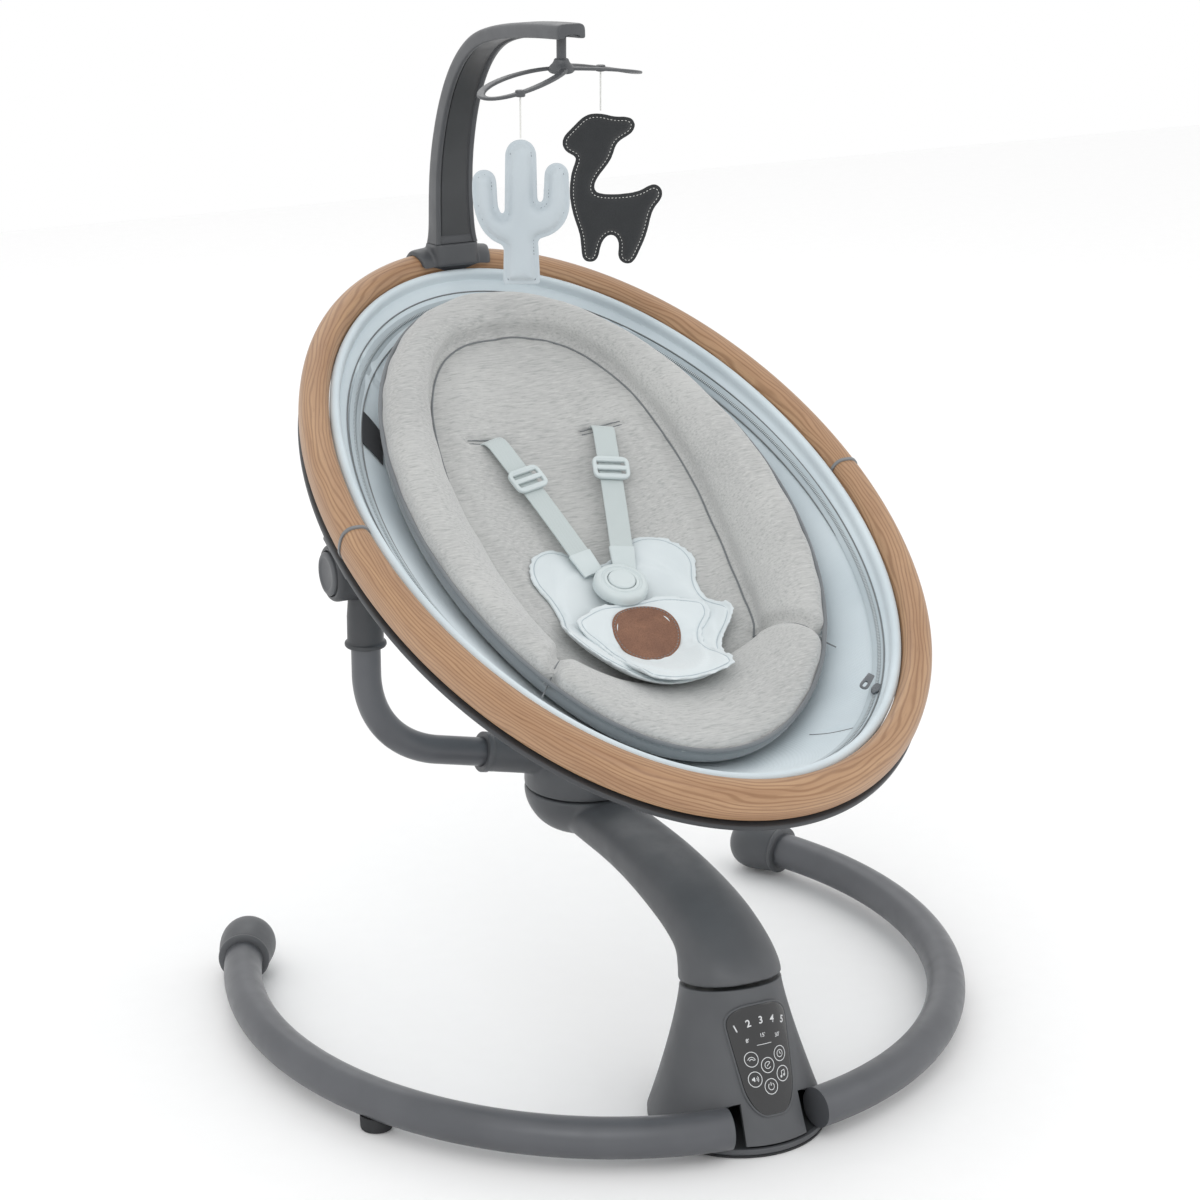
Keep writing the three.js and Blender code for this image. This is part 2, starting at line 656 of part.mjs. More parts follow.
function buildDivider(side) {
  const shape = new THREE.Shape();
  roundedSection(SEAT.woodWide + 2, SEAT.woodHigh + 2, 14, 2.6).forEach(([a, b], i) => {
    shape[i ? "lineTo" : "moveTo"](a, b);
  });
  shape.closePath();
  const plate = extruded(shape, -SEAT.divider / 2, SEAT.divider);
  return plate.rotateX(Math.PI / 2).translate(side * SEAT.halfX, 0, 0);
}

// The moulded lip that the wooden halves sit on: one closed oval under them.
function buildRimFrame() {
  const bottom = -SEAT.woodHigh / 2 - 7.5;
  const loopAt = (inset, z) => {
    const points = [];
    for (let i = 0; i < 44; i++) {
      const angle = (i / 44) * 2 * Math.PI;
      points.push(V((SEAT.halfX + inset) * Math.sin(angle), (SEAT.halfY + inset) * Math.cos(angle), z));
    }
    return points;
  };
  const outer = loft([loopAt(11, bottom), loopAt(12.5, bottom + 6)]);
  const inner = loft([loopAt(-12, bottom - 4), loopAt(-12, bottom + 12)]);
  return cut(outer, inner);
}

addMesh(seat, "rim_head", buildRimHalf(-90, 90), "wood");
addMesh(seat, "rim_foot", buildRimHalf(90, 270), "wood");
addMesh(seat, "rim_divider_left", buildDivider(-1), "darkPlastic");
addMesh(seat, "rim_divider_right", buildDivider(1), "darkPlastic");
addMesh(seat, "rim_frame", buildRimFrame(), "graphite");

// The bracket under the rim on each side: a flange, a cheek beside the pivot housing and a journal into it.
function buildPivotBracket(side) {
  const [pivotU, pivotH] = toSeat(PIVOT.y, PIVOT.z);
  const top = -SEAT.woodHigh / 2 - 7.5 - GAP;
  const flange = new THREE.BoxGeometry(54, 58, 5).translate(side * 234, pivotU - 14, top - 2.5);
  const cheekShape = new THREE.Shape();
  cheekShape.moveTo(-29, 31);
  cheekShape.lineTo(-22, 0);
  cheekShape.absarc(0, 0, 22, Math.PI, 2 * Math.PI, false);
  cheekShape.lineTo(24, 31);
  cheekShape.closePath();
  const cheek = extruded(cheekShape, 0, 5, 12).rotateY(Math.PI / 2).rotateX(Math.PI / 2);
  const cheekX = side > 0 ? 206 : -211;
  const journal = rod(9.4, 0, 26, 24).rotateY(side * Math.PI / 2).translate(side * 207, pivotU, pivotH);
  return join(flange, cheek.translate(cheekX, pivotU, pivotH), journal);
}
addMesh(seat, "pivot_bracket_left", buildPivotBracket(-1), "graphite");
addMesh(seat, "pivot_bracket_right", buildPivotBracket(1), "graphite");

// ---- seat: liner, insert and harness --------------------------------------------------------------------

// How far along the liner's rays (0 at the deepest point, 1 at the rim) a place on the seat lies.
function linerRay(x, u) {
  let low = 0;
  let high = 1;
  for (let i = 0; i < 30; i++) {
    const s = (low + high) / 2;
    const reach = (x / LINER.halfX) ** 2 + ((u + LINER.sink * (1 - s * s)) / LINER.halfY) ** 2;
    if (reach > s * s) {
      low = s;
    } else {
      high = s;
    }
  }
  return (low + high) / 2;
}

const linerDepth = (x, u) => -(LINER.depth - LINER.wall) * (1 - linerRay(x, u) ** LINER.power);

// The fabric basin: one closed shell between an outer and an inner bowl.
function buildLiner() {
  const loopAt = (s, h, inset) => {
    const points = [];
    for (let i = 0; i < 32; i++) {
      const angle = (i / 32) * 2 * Math.PI;
      const x = (LINER.halfX - inset) * s * Math.sin(angle);
      const u = (LINER.halfY - inset) * s * Math.cos(angle) - LINER.sink * (1 - s * s);
      points.push(V(x, u, h));
    }
    return points;
  };
  const rays = [0.02, 0.12, 0.25, 0.4, 0.55, 0.7, 0.84, 0.94, 1];
  const depthAt = (s, deep) => -deep * (1 - s ** LINER.power);
  const outer = rays.map((s) => loopAt(s, depthAt(s, LINER.depth) - 1, 0));
  const inner = rays.map((s) => loopAt(s, depthAt(s, LINER.depth - LINER.wall) + 1, 4)).reverse();
  return loft([...outer, loopAt(1, LINER.lip, 0), loopAt(1, LINER.lip, 4), ...inner]);
}
addMesh(seat, "seat_liner", buildLiner(), "ice");

// The height of the insert's face over the liner, by how far out it is (0 middle, 1 edge).
function insertThickness(r) {
  const rise = THREE.MathUtils.smoothstep(r, 0.5, 0.74);
  const fall = Math.sqrt(Math.max(0, 1 - Math.max(0, (r - 0.78) / 0.22) ** 2));
  return (INSERT.panel + (INSERT.bolster - INSERT.panel) * rise) * (0.15 + 0.85 * fall);
}

const insertRay = (x, u) => Math.hypot(x / INSERT.halfX, (u - INSERT.centre) / INSERT.halfY);
const insertFloor = (x, u) => linerDepth(x, u) + INSERT.clearance;
const faceHeight = (x, u) => insertFloor(x, u) + insertThickness(insertRay(x, u));

function buildInsert() {
  const loopAt = (r, thickness) => {
    const points = [];
    for (let i = 0; i < 28; i++) {
      const angle = (i / 28) * 2 * Math.PI;
      const x = INSERT.halfX * r * Math.sin(angle);
      const u = INSERT.centre + INSERT.halfY * r * Math.cos(angle);
      points.push(V(x, u, insertFloor(x, u) + thickness));
    }
    return points;
  };
  const under = [0.05, 0.3, 0.55, 0.8, 0.95, 1].map((r) => loopAt(r, 0));
  const over = [1, 0.97, 0.9, 0.8, 0.7, 0.6, 0.45, 0.25, 0.05].map((r) => loopAt(r, insertThickness(r)));
  return loft([...under, ...over]);
}
addMesh(seat, "newborn_insert", buildInsert(), "heather");

// The belly pad lies on the face of the insert and passes between the legs.
const BELLY = { top: 8, bottom: -194, halfWide: 80, foot: 42, thick: 11, lift: 9 };

function buildBellyPad() {
  const at = (lift) => (s, t) => {
    const u = BELLY.bottom + (BELLY.top - BELLY.bottom) * s;
    const crown = Math.sqrt(1 - 0.6 * Math.max(0, (s - 0.8) / 0.2) ** 2);
    const spread = THREE.MathUtils.smoothstep(s, 0.08, 0.55) * crown;
    const wide = BELLY.foot + (BELLY.halfWide - BELLY.foot) * spread;
    const x = (2 * t - 1) * wide;
    const middle = 1 - (2 * t - 1) ** 2;
    return V(x, u, faceHeight(x, u) + BELLY.lift + (lift ? BELLY.thick * (0.4 + 0.6 * middle) : 0));
  };
  return sheet(8, 8, at(1), at(0));
}
addMesh(seat, "belly_pad", buildBellyPad(), "ice");

const padTop = (u) => faceHeight(0, u) + BELLY.lift + BELLY.thick;

// A shoulder strap runs from its slit in the insert down to the buckle.
function strapCurve(side) {
  const start = V(side * STRAP.topX, STRAP.topU, faceHeight(STRAP.topX + STRAP.width / 2, STRAP.topU) + 8);
  const end = V(side * STRAP.endX, STRAP.endU, padTop(STRAP.endU) + 2);
  const middle = start.clone().lerp(end, 0.5);
  middle.z += 4;
  return new THREE.QuadraticBezierCurve3(start, middle, end);
}

function buildStrap(side) {
  const half = STRAP.width / 2;
  const section = [[-half, 0], [half, 0], [half, STRAP.thick], [-half, STRAP.thick]];
  return sweep(strapCurve(side), 12, () => section, V(0, 0, 1));
}

function buildAdjuster(side) {
  const shape = new THREE.Shape();
  roundedSection(36, 26, 16, 4).forEach(([a, b], i) => shape[i ? "lineTo" : "moveTo"](a, b));
  shape.closePath();
  for (const y of [-5.2, 5.2]) {
    const slot = new THREE.Path();
    [[-12, y - 3], [-12, y + 3], [12, y + 3], [12, y - 3]].forEach(([a, b], i) => {
      slot[i ? "lineTo" : "moveTo"](a, b);
    });
    slot.closePath();
    shape.holes.push(slot);
  }
  const frame = extruded(shape, 0, 4);
  const curve = strapCurve(side);
  const origin = curve.getPoint(0.36);
  const tangent = curve.getTangent(0.36);
  const across = new THREE.Vector3().crossVectors(tangent, V(0, 0, 1)).normalize();
  const up = new THREE.Vector3().crossVectors(across, tangent);
  const place = new THREE.Matrix4().makeBasis(across, tangent, up.clone());
  if (place.determinant() < 0) {
    place.makeBasis(across.negate(), tangent, up);
  }
  place.setPosition(origin.addScaledVector(up, STRAP.thick + 0.6));
  return frame.applyMatrix4(place);
}

const buckleZ = padTop(BUCKLE.u) + 9;

function buildBuckle() {
  const r = BUCKLE.radius;
  const t = BUCKLE.thick;
  const b = BUCKLE.button + 0.6;
  const profile = [[0, 0], [r - 1, 0], [r, 1], [r, t - 3], [r - 3, t], [b, t], [b, t - 4], [0, t - 4]];
  return turned(profile, 24).translate(0, BUCKLE.u, buckleZ);
}

function buildBuckleButton() {
  const z = buckleZ + BUCKLE.thick - 4 + 2.2;
  const r = BUCKLE.button;
  return turned([[0, z], [r, z], [r, z + 2.6], [r - 1, z + 3.4], [0, z + 3.4]], 24).translate(0, BUCKLE.u, 0);
}

for (const [side, word] of [[-1, "left"], [1, "right"]]) {
  addMesh(seat, `shoulder_strap_${word}`, buildStrap(side), "icePlastic");
  addMesh(seat, `strap_adjuster_${word}`, buildAdjuster(side), "icePlastic");
}
addMesh(seat, "harness_buckle", buildBuckle(), "icePlastic");
addMesh(seat, "buckle_button", buildBuckleButton(), "icePlastic");

// The zip's puller at the foot end of the liner, hanging from its slider.
const ZIP = { x: 126, u: -284 };
function buildZipPull() {
  const shape = new THREE.Shape();
  shape.moveTo(-3, 0);
  shape.lineTo(3, 0);
  shape.lineTo(4, -16);
  shape.absarc(0, -18, 4, 0, Math.PI, true);
  shape.closePath();
  return extruded(shape, 0, 1.6, 10).rotateZ(-50 * RAD).translate(ZIP.x, ZIP.u, LINER.lip + 4);
}
addMesh(seat, "zip_pull", buildZipPull(), "steel");

// ---- toy bar --------------------------------------------------------------------------------------------

// The clip hooks over the rim at the head end and carries a flat seat for the bar.
function buildToyBarClip() {
  const outer = roundedSection(SEAT.woodWide + 10, SEAT.woodHigh + 9, 24, 2.6);
  const wrap = sweep(rimCurve(-9, 9), 8, () => outer, V(0, 0, 1));
  const wood = sweep(
    rimCurve(-14, 14),
    12,
    () => roundedSection(SEAT.woodWide + 4 * GAP, SEAT.woodHigh + 4 * GAP, 24, 2.6),
    V(0, 0, 1),
  );
  const [u, h] = toSeat(ARCH.baseY, ARCH.baseZ);
  const padAxis = (ARCH.lean + SEAT.tilt) * RAD;
  const pad = new THREE.BoxGeometry(46, 34, 20).rotateX(-padAxis);
  const padPlaced = pad.translate(0, u - 10 * Math.sin(padAxis), h - 10 * Math.cos(padAxis));
  const inner = SEAT.halfY - SEAT.woodWide / 2 - GAP;
  const linerSide = new THREE.BoxGeometry(200, 60, 70).translate(0, inner - 30, -20);
  const linerLow = new THREE.BoxGeometry(200, 60, 60).translate(0, SEAT.halfY - 34, -28);
  const frameSide = new THREE.BoxGeometry(200, 120, 40).translate(0, SEAT.halfY, -SEAT.woodHigh / 2 - 18);
  return cut(join(wrap, padPlaced), wood, linerSide, linerLow, frameSide);
}
addMesh(seat, "toy_bar_clip", buildToyBarClip(), "archPlastic");

// The arch: up from the clip, over the seat, ending above the hanger.
function archCurve() {
  const s = Math.sin(ARCH.lean * RAD);
  const c = Math.cos(ARCH.lean * RAD);
  const foot = V(0, ARCH.baseY + GAP * s, ARCH.baseZ + GAP * c);
  const path = new THREE.CurvePath();
  const shoulder = V(0, 343, 798);
  const crown = V(0, 241, 907);
  path.add(new THREE.CubicBezierCurve3(
    foot,
    foot.clone().add(V(0, 40 * s, 40 * c)),
    V(0, 356, 760),
    shoulder,
  ));
  path.add(new THREE.CubicBezierCurve3(shoulder, V(0, 325, 853), V(0, 290, 893), crown));
  path.add(new THREE.CubicBezierCurve3(crown, V(0, 205, 918), V(0, 140, 926), V(0, 72, 931)));
  return path;
}

function buildToyArch() {
  const curve = archCurve();
  const bar = sweep(curve, 20, (t) => {
    const deep = 26 - 12 * Math.min(1, t * 1.6);
    const broad = 42 - 14 * t;
    return roundedSection(deep, broad, 12, 3.4);
  }, V(1, 0, 0));
  const bore = rod(HANGER.pin + GAP, HANGER.z, HANGER.z + HANGER.pinTop + GAP, 16).translate(0, HANGER.y, 0);
  return cut(bar, bore);
}
addMesh(model, "toy_arch", buildToyArch(), "archPlastic");

// The hanger: a pin that turns in the bar's end, and two drooping loops that carry the strings.
const hanger = new THREE.Group();
hanger.position.set(0, HANGER.y, HANGER.z);
model.add(hanger);

const loopAcross = (angle) => HANGER.across * Math.sin(angle) * (0.55 + 0.45 * Math.sin(angle / 2));
const loopHeight = (along) => -4 - HANGER.drop * (along / HANGER.reach) ** 1.5;

function buildHanger() {
  const pin = rod(HANGER.pin, -6, HANGER.pinTop, 16);
  const hub = turned([[0, -8], [11, -8], [13, -5], [8, 2], [0, 4]], 24);
  const loops = [0, 180].map((turn) => {
    const curve = new FormulaCurve((t) => {
      const angle = t * 2 * Math.PI;
      const along = (HANGER.reach / 2) * (1 - Math.cos(angle));
      return V(along, loopAcross(angle), loopHeight(along));
    });
    const points = [];
    for (let i = 0; i < 20; i++) {
      const t = (i + 0.5) / 20;
      const p = curve.getPoint(t);
      const tangent = curve.getTangent(t);
      const side = new THREE.Vector3().crossVectors(tangent, V(0, 0, 1)).normalize();
      points.push([[-3.5, -1.5], [3.5, -1.5], [3.5, 1.5], [-3.5, 1.5]].map(([a, b]) => (
        p.clone().addScaledVector(side, a).add(V(0, 0, b))
      )));
    }
    return loft(points).rotateZ((turn + HANGER.turn) * RAD);
  });
  return join(pin, hub, ...loops);
}
addMesh(hanger, "toy_hanger", buildHanger(), "archPlastic");

// A string hangs from the band of its loop, a little way before the loop's tip.
const stringAngle = Math.acos(1 - (2 * STRING.along) / HANGER.reach);
const stringSpot = V(STRING.along, loopAcross(stringAngle), 0).applyAxisAngle(V(0, 0, 1), HANGER.turn * RAD);
const stringTop = loopHeight(STRING.along) - 2.2;

function buildString(x, y) {
  const line = new THREE.LineCurve3(V(x, y, stringTop), V(x, y, stringTop - STRING.length));
  return rodAlong(line, STRING.radius, 8, 12);
}

// A stuffed cactus: a trunk and two bent arms in one outline.
function cactusShape() {
  const shape = new THREE.Shape();
  const h = TOY.cactus;
  shape.moveTo(-17, -h);
  shape.lineTo(17, -h);
  shape.lineTo(15, -h + 42);
  shape.bezierCurveTo(32, -h + 44, 44, -h + 56, 44, -h + 76);
  shape.lineTo(43, -h + 96);
  shape.absarc(32, -h + 100, 11, 0, Math.PI, false);
  shape.lineTo(20, -h + 76);
  shape.lineTo(15, -h + 72);
  shape.lineTo(14, -14);
  shape.absarc(0, -14, 14, 0, Math.PI, false);
  shape.lineTo(-15, -h + 62);
  shape.lineTo(-21, -h + 74);
  shape.lineTo(-22, -h + 92);
  shape.absarc(-33, -h + 94, 11, 0, Math.PI, false);
  shape.bezierCurveTo(-45, -h + 60, -34, -h + 40, -16, -h + 36);
  shape.closePath();
  return shape;
}

// A stuffed long-necked animal, drawn round from the top of its head.
function animalShape() {
  const outline = [
    [-2, -1], [-14, -2], [-24, -12], [-28, -18], [-36, -22], [-38, -34], [-30, -42], [-20, -41], [-28, -56],
    [-30, -80], [-26, -100], [-19, -118], [-18, -145], [-2, -145], [0, -124], [10, -114], [19, -122],
    [15, -143], [30, -149], [44, -118], [50, -90], [60, -84], [60, -72], [50, -66], [43, -72], [39, -76],
    [16, -79], [-8, -78], [-6, -66], [12, -44], [14, -28], [26, -24], [34, -18], [34, -8], [26, -3],
    [14, -7], [8, -3],
  ];
  return new THREE.Shape(outline.map(([x, y]) => new THREE.Vector2(x, y)));
}

function buildToy(shape, thick) {
  const geometry = new THREE.ExtrudeGeometry(shape, {
    depth: thick * 0.4,
    bevelEnabled: true,
    bevelThickness: thick * 0.3,
    bevelSize: 1.5,
    bevelOffset: -1.5,
    bevelSegments: 1,
    curveSegments: 4,
  });
  return geometry.translate(0, 0, -thick * 0.2).rotateX(Math.PI / 2).rotateZ(-26 * RAD);
}

const toyTop = stringTop - STRING.length - 0.6;
const TOY_SPOTS = [
  ["cactus_toy", -1, cactusShape(), TOY.thick, "ice"],
  ["animal_toy", 1, animalShape(), 14, "felt"],
];
for (const [name, side, shape, thick, finish] of TOY_SPOTS) {
  const word = name.split("_")[0];
  const x = side * stringSpot.x;
  const y = side * stringSpot.y;
  addMesh(hanger, `${word}_string`, buildString(x, y), "thread");
  addMesh(hanger, name, buildToy(shape, thick), finish).position.set(x, y, toyTop);
}

export default model;
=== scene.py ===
# %% [markdown]
# # A powered baby swing
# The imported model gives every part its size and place. This lesson makes what is seen: smooth painted
# tubes and mouldings, a wooden rim, a zipped fabric basin with a padded insert, a harness and a toy bar.
# Everything is in metres, with +Z up and the foot end of the seat towards -Y.

# %% Load the frame
import math

import bpy
import numpy as np
from mathutils import Matrix, Vector

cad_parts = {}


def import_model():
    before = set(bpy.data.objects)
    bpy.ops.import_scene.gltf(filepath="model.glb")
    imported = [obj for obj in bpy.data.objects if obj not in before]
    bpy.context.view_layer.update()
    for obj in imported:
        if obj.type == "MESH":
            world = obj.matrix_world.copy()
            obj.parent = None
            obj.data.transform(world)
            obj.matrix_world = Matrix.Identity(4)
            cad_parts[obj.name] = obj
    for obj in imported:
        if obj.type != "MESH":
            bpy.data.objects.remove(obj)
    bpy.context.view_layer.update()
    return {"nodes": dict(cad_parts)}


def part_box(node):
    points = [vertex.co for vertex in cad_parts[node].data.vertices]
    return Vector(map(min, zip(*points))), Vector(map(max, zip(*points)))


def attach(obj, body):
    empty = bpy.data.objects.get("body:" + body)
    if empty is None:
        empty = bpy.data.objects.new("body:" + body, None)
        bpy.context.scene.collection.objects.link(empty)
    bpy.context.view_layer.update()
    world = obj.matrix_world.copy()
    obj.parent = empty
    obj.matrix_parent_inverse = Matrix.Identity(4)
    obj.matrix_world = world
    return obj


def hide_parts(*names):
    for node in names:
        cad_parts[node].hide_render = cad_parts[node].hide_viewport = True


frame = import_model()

# %% [markdown]
# Shapes are written in the maker's millimetres, in the drawing's own frame, and one step makes them metres
# and slides them as the model was slid, to bring its origin under its middle. That slide is read from the
# turntable. The seat has a frame of its own: X across, Y towards the head and Z off the wooden rim.

# %% Drawing frames
MM = 0.001
HUB_Y = 52
SEAT = {"z": 503.5, "tilt": 23.5, "half_x": 252, "half_y": 393.6, "wood_wide": 28, "wood_high": 36}


def middle(node):
    """The middle of a node's box."""
    lo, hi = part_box(node)
    return np.array((lo + hi) / 2)


SHIFT = middle("turntable_hub")[1] - HUB_Y * MM


def turn_about(axis, degrees):
    """The 3x3 matrix of a turn about X, Y or Z."""
    return np.array(Matrix.Rotation(math.radians(degrees), 3, axis))


def world(points):
    """From the drawing's millimetres to the frame's metres."""
    return np.asarray(points, dtype=float) * MM + [0, SHIFT, 0]


def moved(points, shift=(0, 0, 0), turn=None):
    """Turns points by a 3x3 matrix, then moves them."""
    out = np.asarray(points, dtype=float)
    if turn is not None:
        out = out @ turn.T
    return out + np.asarray(shift, dtype=float)


seat_turn = turn_about("X", SEAT["tilt"])


def from_seat(points):
    """From the seat's own millimetres to metres."""
    return world(moved(points, (0, 0, SEAT["z"]), seat_turn))


def to_seat(points):
    """Back from metres to the seat's own millimetres."""
    drawing = (np.asarray(points, dtype=float) - [0, SHIFT, 0]) / MM
    return (drawing - [0, 0, SEAT["z"]]) @ seat_turn


print("the model was slid by", round(SHIFT / MM, 2), "mm along Y")

# %% [markdown]
# The camera stands in front of the swing, to the left, and looks slightly down.

# %% Camera
CAMERA = {"azimuth": -26.38, "elevation": 18.344, "distance": 2.8794, "lens": 89.39}
CAMERA_TARGET = world([32.7, 81.8, 383.5])


def view_axes(azimuth, elevation):
    """Right, up and back of a camera: back points from the target to the camera."""
    a, e = math.radians(azimuth), math.radians(elevation)
    right = Vector((math.cos(a), math.sin(a), 0))
    back = Vector((math.sin(a) * math.cos(e), -math.cos(a) * math.cos(e), math.sin(e)))
    return right, back.cross(right), back


def add_camera():
    right, up, back = view_axes(CAMERA["azimuth"], CAMERA["elevation"])
    data = bpy.data.cameras.new("camera")
    data.lens = CAMERA["lens"]
    data.clip_end = 50
    camera = bpy.data.objects.new("camera", data)
    turn = Matrix((right, up, back)).transposed().to_4x4()
    spot = Vector(CAMERA_TARGET) + back * CAMERA["distance"]
    camera.matrix_world = Matrix.Translation(spot) @ turn
    bpy.context.scene.collection.objects.link(camera)
    bpy.context.scene.camera = camera
    return camera


print("camera at", [round(v, 3) for v in add_camera().matrix_world.translation])

# %% [markdown]
# ## Surfaces from arrays
# Each new piece is a grid of points worked out at once with numpy. A grid becomes a mesh by joining every
# point with its neighbours. Its UV map holds real distances in metres, so a pattern can follow the surface.

# %% Grid to mesh
def mesh_object(name, points, faces, uv=None):
    """A mesh from points (n, 3) and a list of face arrays, each (m, 3) or (m, 4); uv lists each corner's."""
    mesh = bpy.data.meshes.new(name)
    corners = np.concatenate([f.ravel() for f in faces]).astype(np.int32)
    sizes = np.concatenate([np.full(len(f), f.shape[1]) for f in faces])
    starts = np.concatenate([[0], np.cumsum(sizes)[:-1]]).astype(np.int32)
    mesh.vertices.add(len(points))
    mesh.vertices.foreach_set("co", np.asarray(points, dtype=np.float32).ravel())
    mesh.loops.add(len(corners))
    mesh.loops.foreach_set("vertex_index", corners)
    mesh.polygons.add(len(sizes))
    mesh.polygons.foreach_set("loop_start", starts)
    if uv is not None:
        layer = mesh.uv_layers.new(name="UVMap")
        layer.data.foreach_set("uv", np.concatenate(uv).astype(np.float32).ravel())
    mesh.update(calc_edges=True)
    mesh.validate()
    obj = bpy.data.objects.new(name, mesh)
    bpy.context.scene.collection.objects.link(obj)
    return obj


def lengths(grid, axis, wrap):
    """Distance along one way of the grid, averaged over the other way."""
    closed = np.concatenate([grid, grid.take([0], axis)], axis) if wrap else grid
    steps = np.linalg.norm(np.diff(closed, axis=axis), axis=2).mean(axis=1 - axis)
    return np.concatenate([[0], np.cumsum(steps)])


def grid_object(name, grid, wrap=(False, True), caps=True):
    """A surface through grid[i, j]: wrap joins the last row or column to the first, and caps closes the
    first and last rows with a fan to their middle. Faces point out when the volume says so."""
    rows, columns = grid.shape[:2]
    number = np.arange(rows * columns).reshape(rows, columns)
    for axis in (0, 1):
        if wrap[axis]:
            number = np.concatenate([number, number.take([0], axis)], axis)
    along, around = lengths(grid, 0, wrap[0]), lengths(grid, 1, wrap[1])
    v, u = np.meshgrid(along, around, indexing="ij")
    place = np.stack([u, v], -1)
    pick = lambda a: np.stack([a[:-1, :-1], a[1:, :-1], a[1:, 1:], a[:-1, 1:]], 2)
    faces = [pick(number).reshape(-1, 4)]
    uv = [pick(place).reshape(-1, 2)]
    points = grid.reshape(-1, 3)
    if caps and not wrap[0]:
        for row, flip in ((0, True), (-1, False)):
            ring, edge = number[row], place[row]
            points = np.vstack([points, grid[row].mean(0)])
            hub = np.full(len(ring) - 1, len(points) - 1)
            fan = np.stack([ring[1:], ring[:-1], hub][:: -1 if flip else 1], 1)
            faces.append(fan)
            uv.append(np.stack([edge[1:], edge[:-1], edge[:-1]][:: -1 if flip else 1], 1).reshape(-1, 2))
    obj = mesh_object(name, points, faces, uv)
    if signed_volume(obj) < 0:
        obj.data.flip_normals()
    return obj


def signed_volume(obj):
    """The volume inside the faces, negative where they point in."""
    mesh = obj.data
    mesh.calc_loop_triangles()
    index = np.empty(len(mesh.loop_triangles) * 3, dtype=np.int32)
    mesh.loop_triangles.foreach_get("vertices", index)
    a, b, c = mesh_points(obj)[index.reshape(-1, 3)].transpose(1, 0, 2)
    return float((a * np.cross(b, c)).sum() / 6)


def mesh_points(obj):
    points = np.empty(len(obj.data.vertices) * 3, dtype=np.float32)
    obj.data.vertices.foreach_get("co", points)
    return points.reshape(-1, 3).astype(float)


def set_points(obj, points):
    obj.data.vertices.foreach_set("co", np.asarray(points, dtype=np.float32).ravel())
    obj.data.update()


# %% [markdown]
# Four ways to fill a grid cover the whole swing: a profile turned about a line, a section carried along a
# path, a sheet between two surfaces, and a profile whose corners are first rounded as a moulding's are.

# %% Turned and swept shapes
def turned(profile, segments=96):
    """A profile of (radius, height) turned about Z: point (r cos a, r sin a, h) for each angle a."""
    r, h = np.asarray(profile, dtype=float).T
    angle = np.linspace(0, 2 * np.pi, segments, endpoint=False)
    return np.stack([np.outer(r, np.cos(angle)), np.outer(r, np.sin(angle)),
                     np.repeat(h[:, None], segments, 1)], -1)


def rounded(corners, radius, steps=5):
    """A polyline with each inner corner P replaced by the curve (1-t)^2 A + 2t(1-t) P + t^2 B, where A and
    B lie `radius` away from P on its two sides, or at half a side that is shorter than that."""
    corners = np.asarray(corners, dtype=float)
    radii = np.broadcast_to(radius, len(corners))
    before, here, after = corners[:-2], corners[1:-1], corners[2:]
    to_a, to_b = before - here, after - here
    size_a, size_b = np.linalg.norm(to_a, axis=1), np.linalg.norm(to_b, axis=1)
    reach_a = np.minimum(radii[1:-1], size_a / 2.02)
    reach_b = np.minimum(radii[1:-1], size_b / 2.02)
    start = here + to_a * (reach_a / size_a)[:, None]
    end = here + to_b * (reach_b / size_b)[:, None]
    t = np.linspace(0, 1, steps)[None, :, None]
    arcs = (1 - t) ** 2 * start[:, None] + 2 * t * (1 - t) * here[:, None] + t**2 * end[:, None]
    return np.vstack([corners[:1], arcs.reshape(-1, corners.shape[1]), corners[-1:]])


def oval(width, height, power=2.0, sides=48):
    """A rounded rectangle as (across, up): x = w/2 sign(cos a) |cos a|^(2/p), y likewise with sin."""
    angle = np.linspace(0, 2 * np.pi, sides, endpoint=False)
    c, s = np.cos(angle), np.sin(angle)
    x = np.sign(c) * np.abs(c) ** (2 / power) * width / 2
    y = np.sign(s) * np.abs(s) ** (2 / power) * height / 2
    return np.column_stack([x, y])


def swept(path, sections, up, closed=False):
    """A section carried along a path: point = path + across * side + rise * top, where side is the path's
    direction crossed with `up`, and top is side crossed with the direction."""
    path = np.asarray(path, dtype=float)
    if closed:
        direction = np.roll(path, -1, 0) - np.roll(path, 1, 0)
    else:
        direction = np.gradient(path, axis=0)
    direction /= np.linalg.norm(direction, axis=1)[:, None]
    side = np.cross(direction, np.broadcast_to(up, path.shape))
    side /= np.linalg.norm(side, axis=1)[:, None]
    top = np.cross(side, direction)
    sections = np.broadcast_to(sections, (len(path),) + np.shape(sections)[-2:])
    return path[:, None] + sections[..., :1] * side[:, None] + sections[..., 1:] * top[:, None]


def bezier(points, steps):
    """A Bezier curve through steps values of t, by repeated mixing of neighbouring points."""
    t = np.linspace(0, 1, steps)[:, None, None]
    mix = np.broadcast_to(np.asarray(points, dtype=float), (steps,) + np.shape(points))
    while mix.shape[1] > 1:
        mix = mix[:, :-1] * (1 - t) + mix[:, 1:] * t
    return mix[:, 0]


def spline(points, steps):
    """A smooth curve through every point: a cubic between each two, with slopes from their neighbours."""
    points = np.asarray(points, dtype=float)
    slope = np.gradient(points, axis=0)
    t = np.linspace(0, len(points) - 1, steps)
    i = np.minimum(t.astype(int), len(points) - 2)
    f = (t - i)[:, None]
    a, b, da, db = points[i], points[i + 1], slope[i], slope[i + 1]
    return (a * (2 * f**3 - 3 * f**2 + 1) + da * (f**3 - 2 * f**2 + f)
            + b * (3 * f**2 - 2 * f**3) + db * (f**3 - f**2))


print("ways to fill a grid are ready")

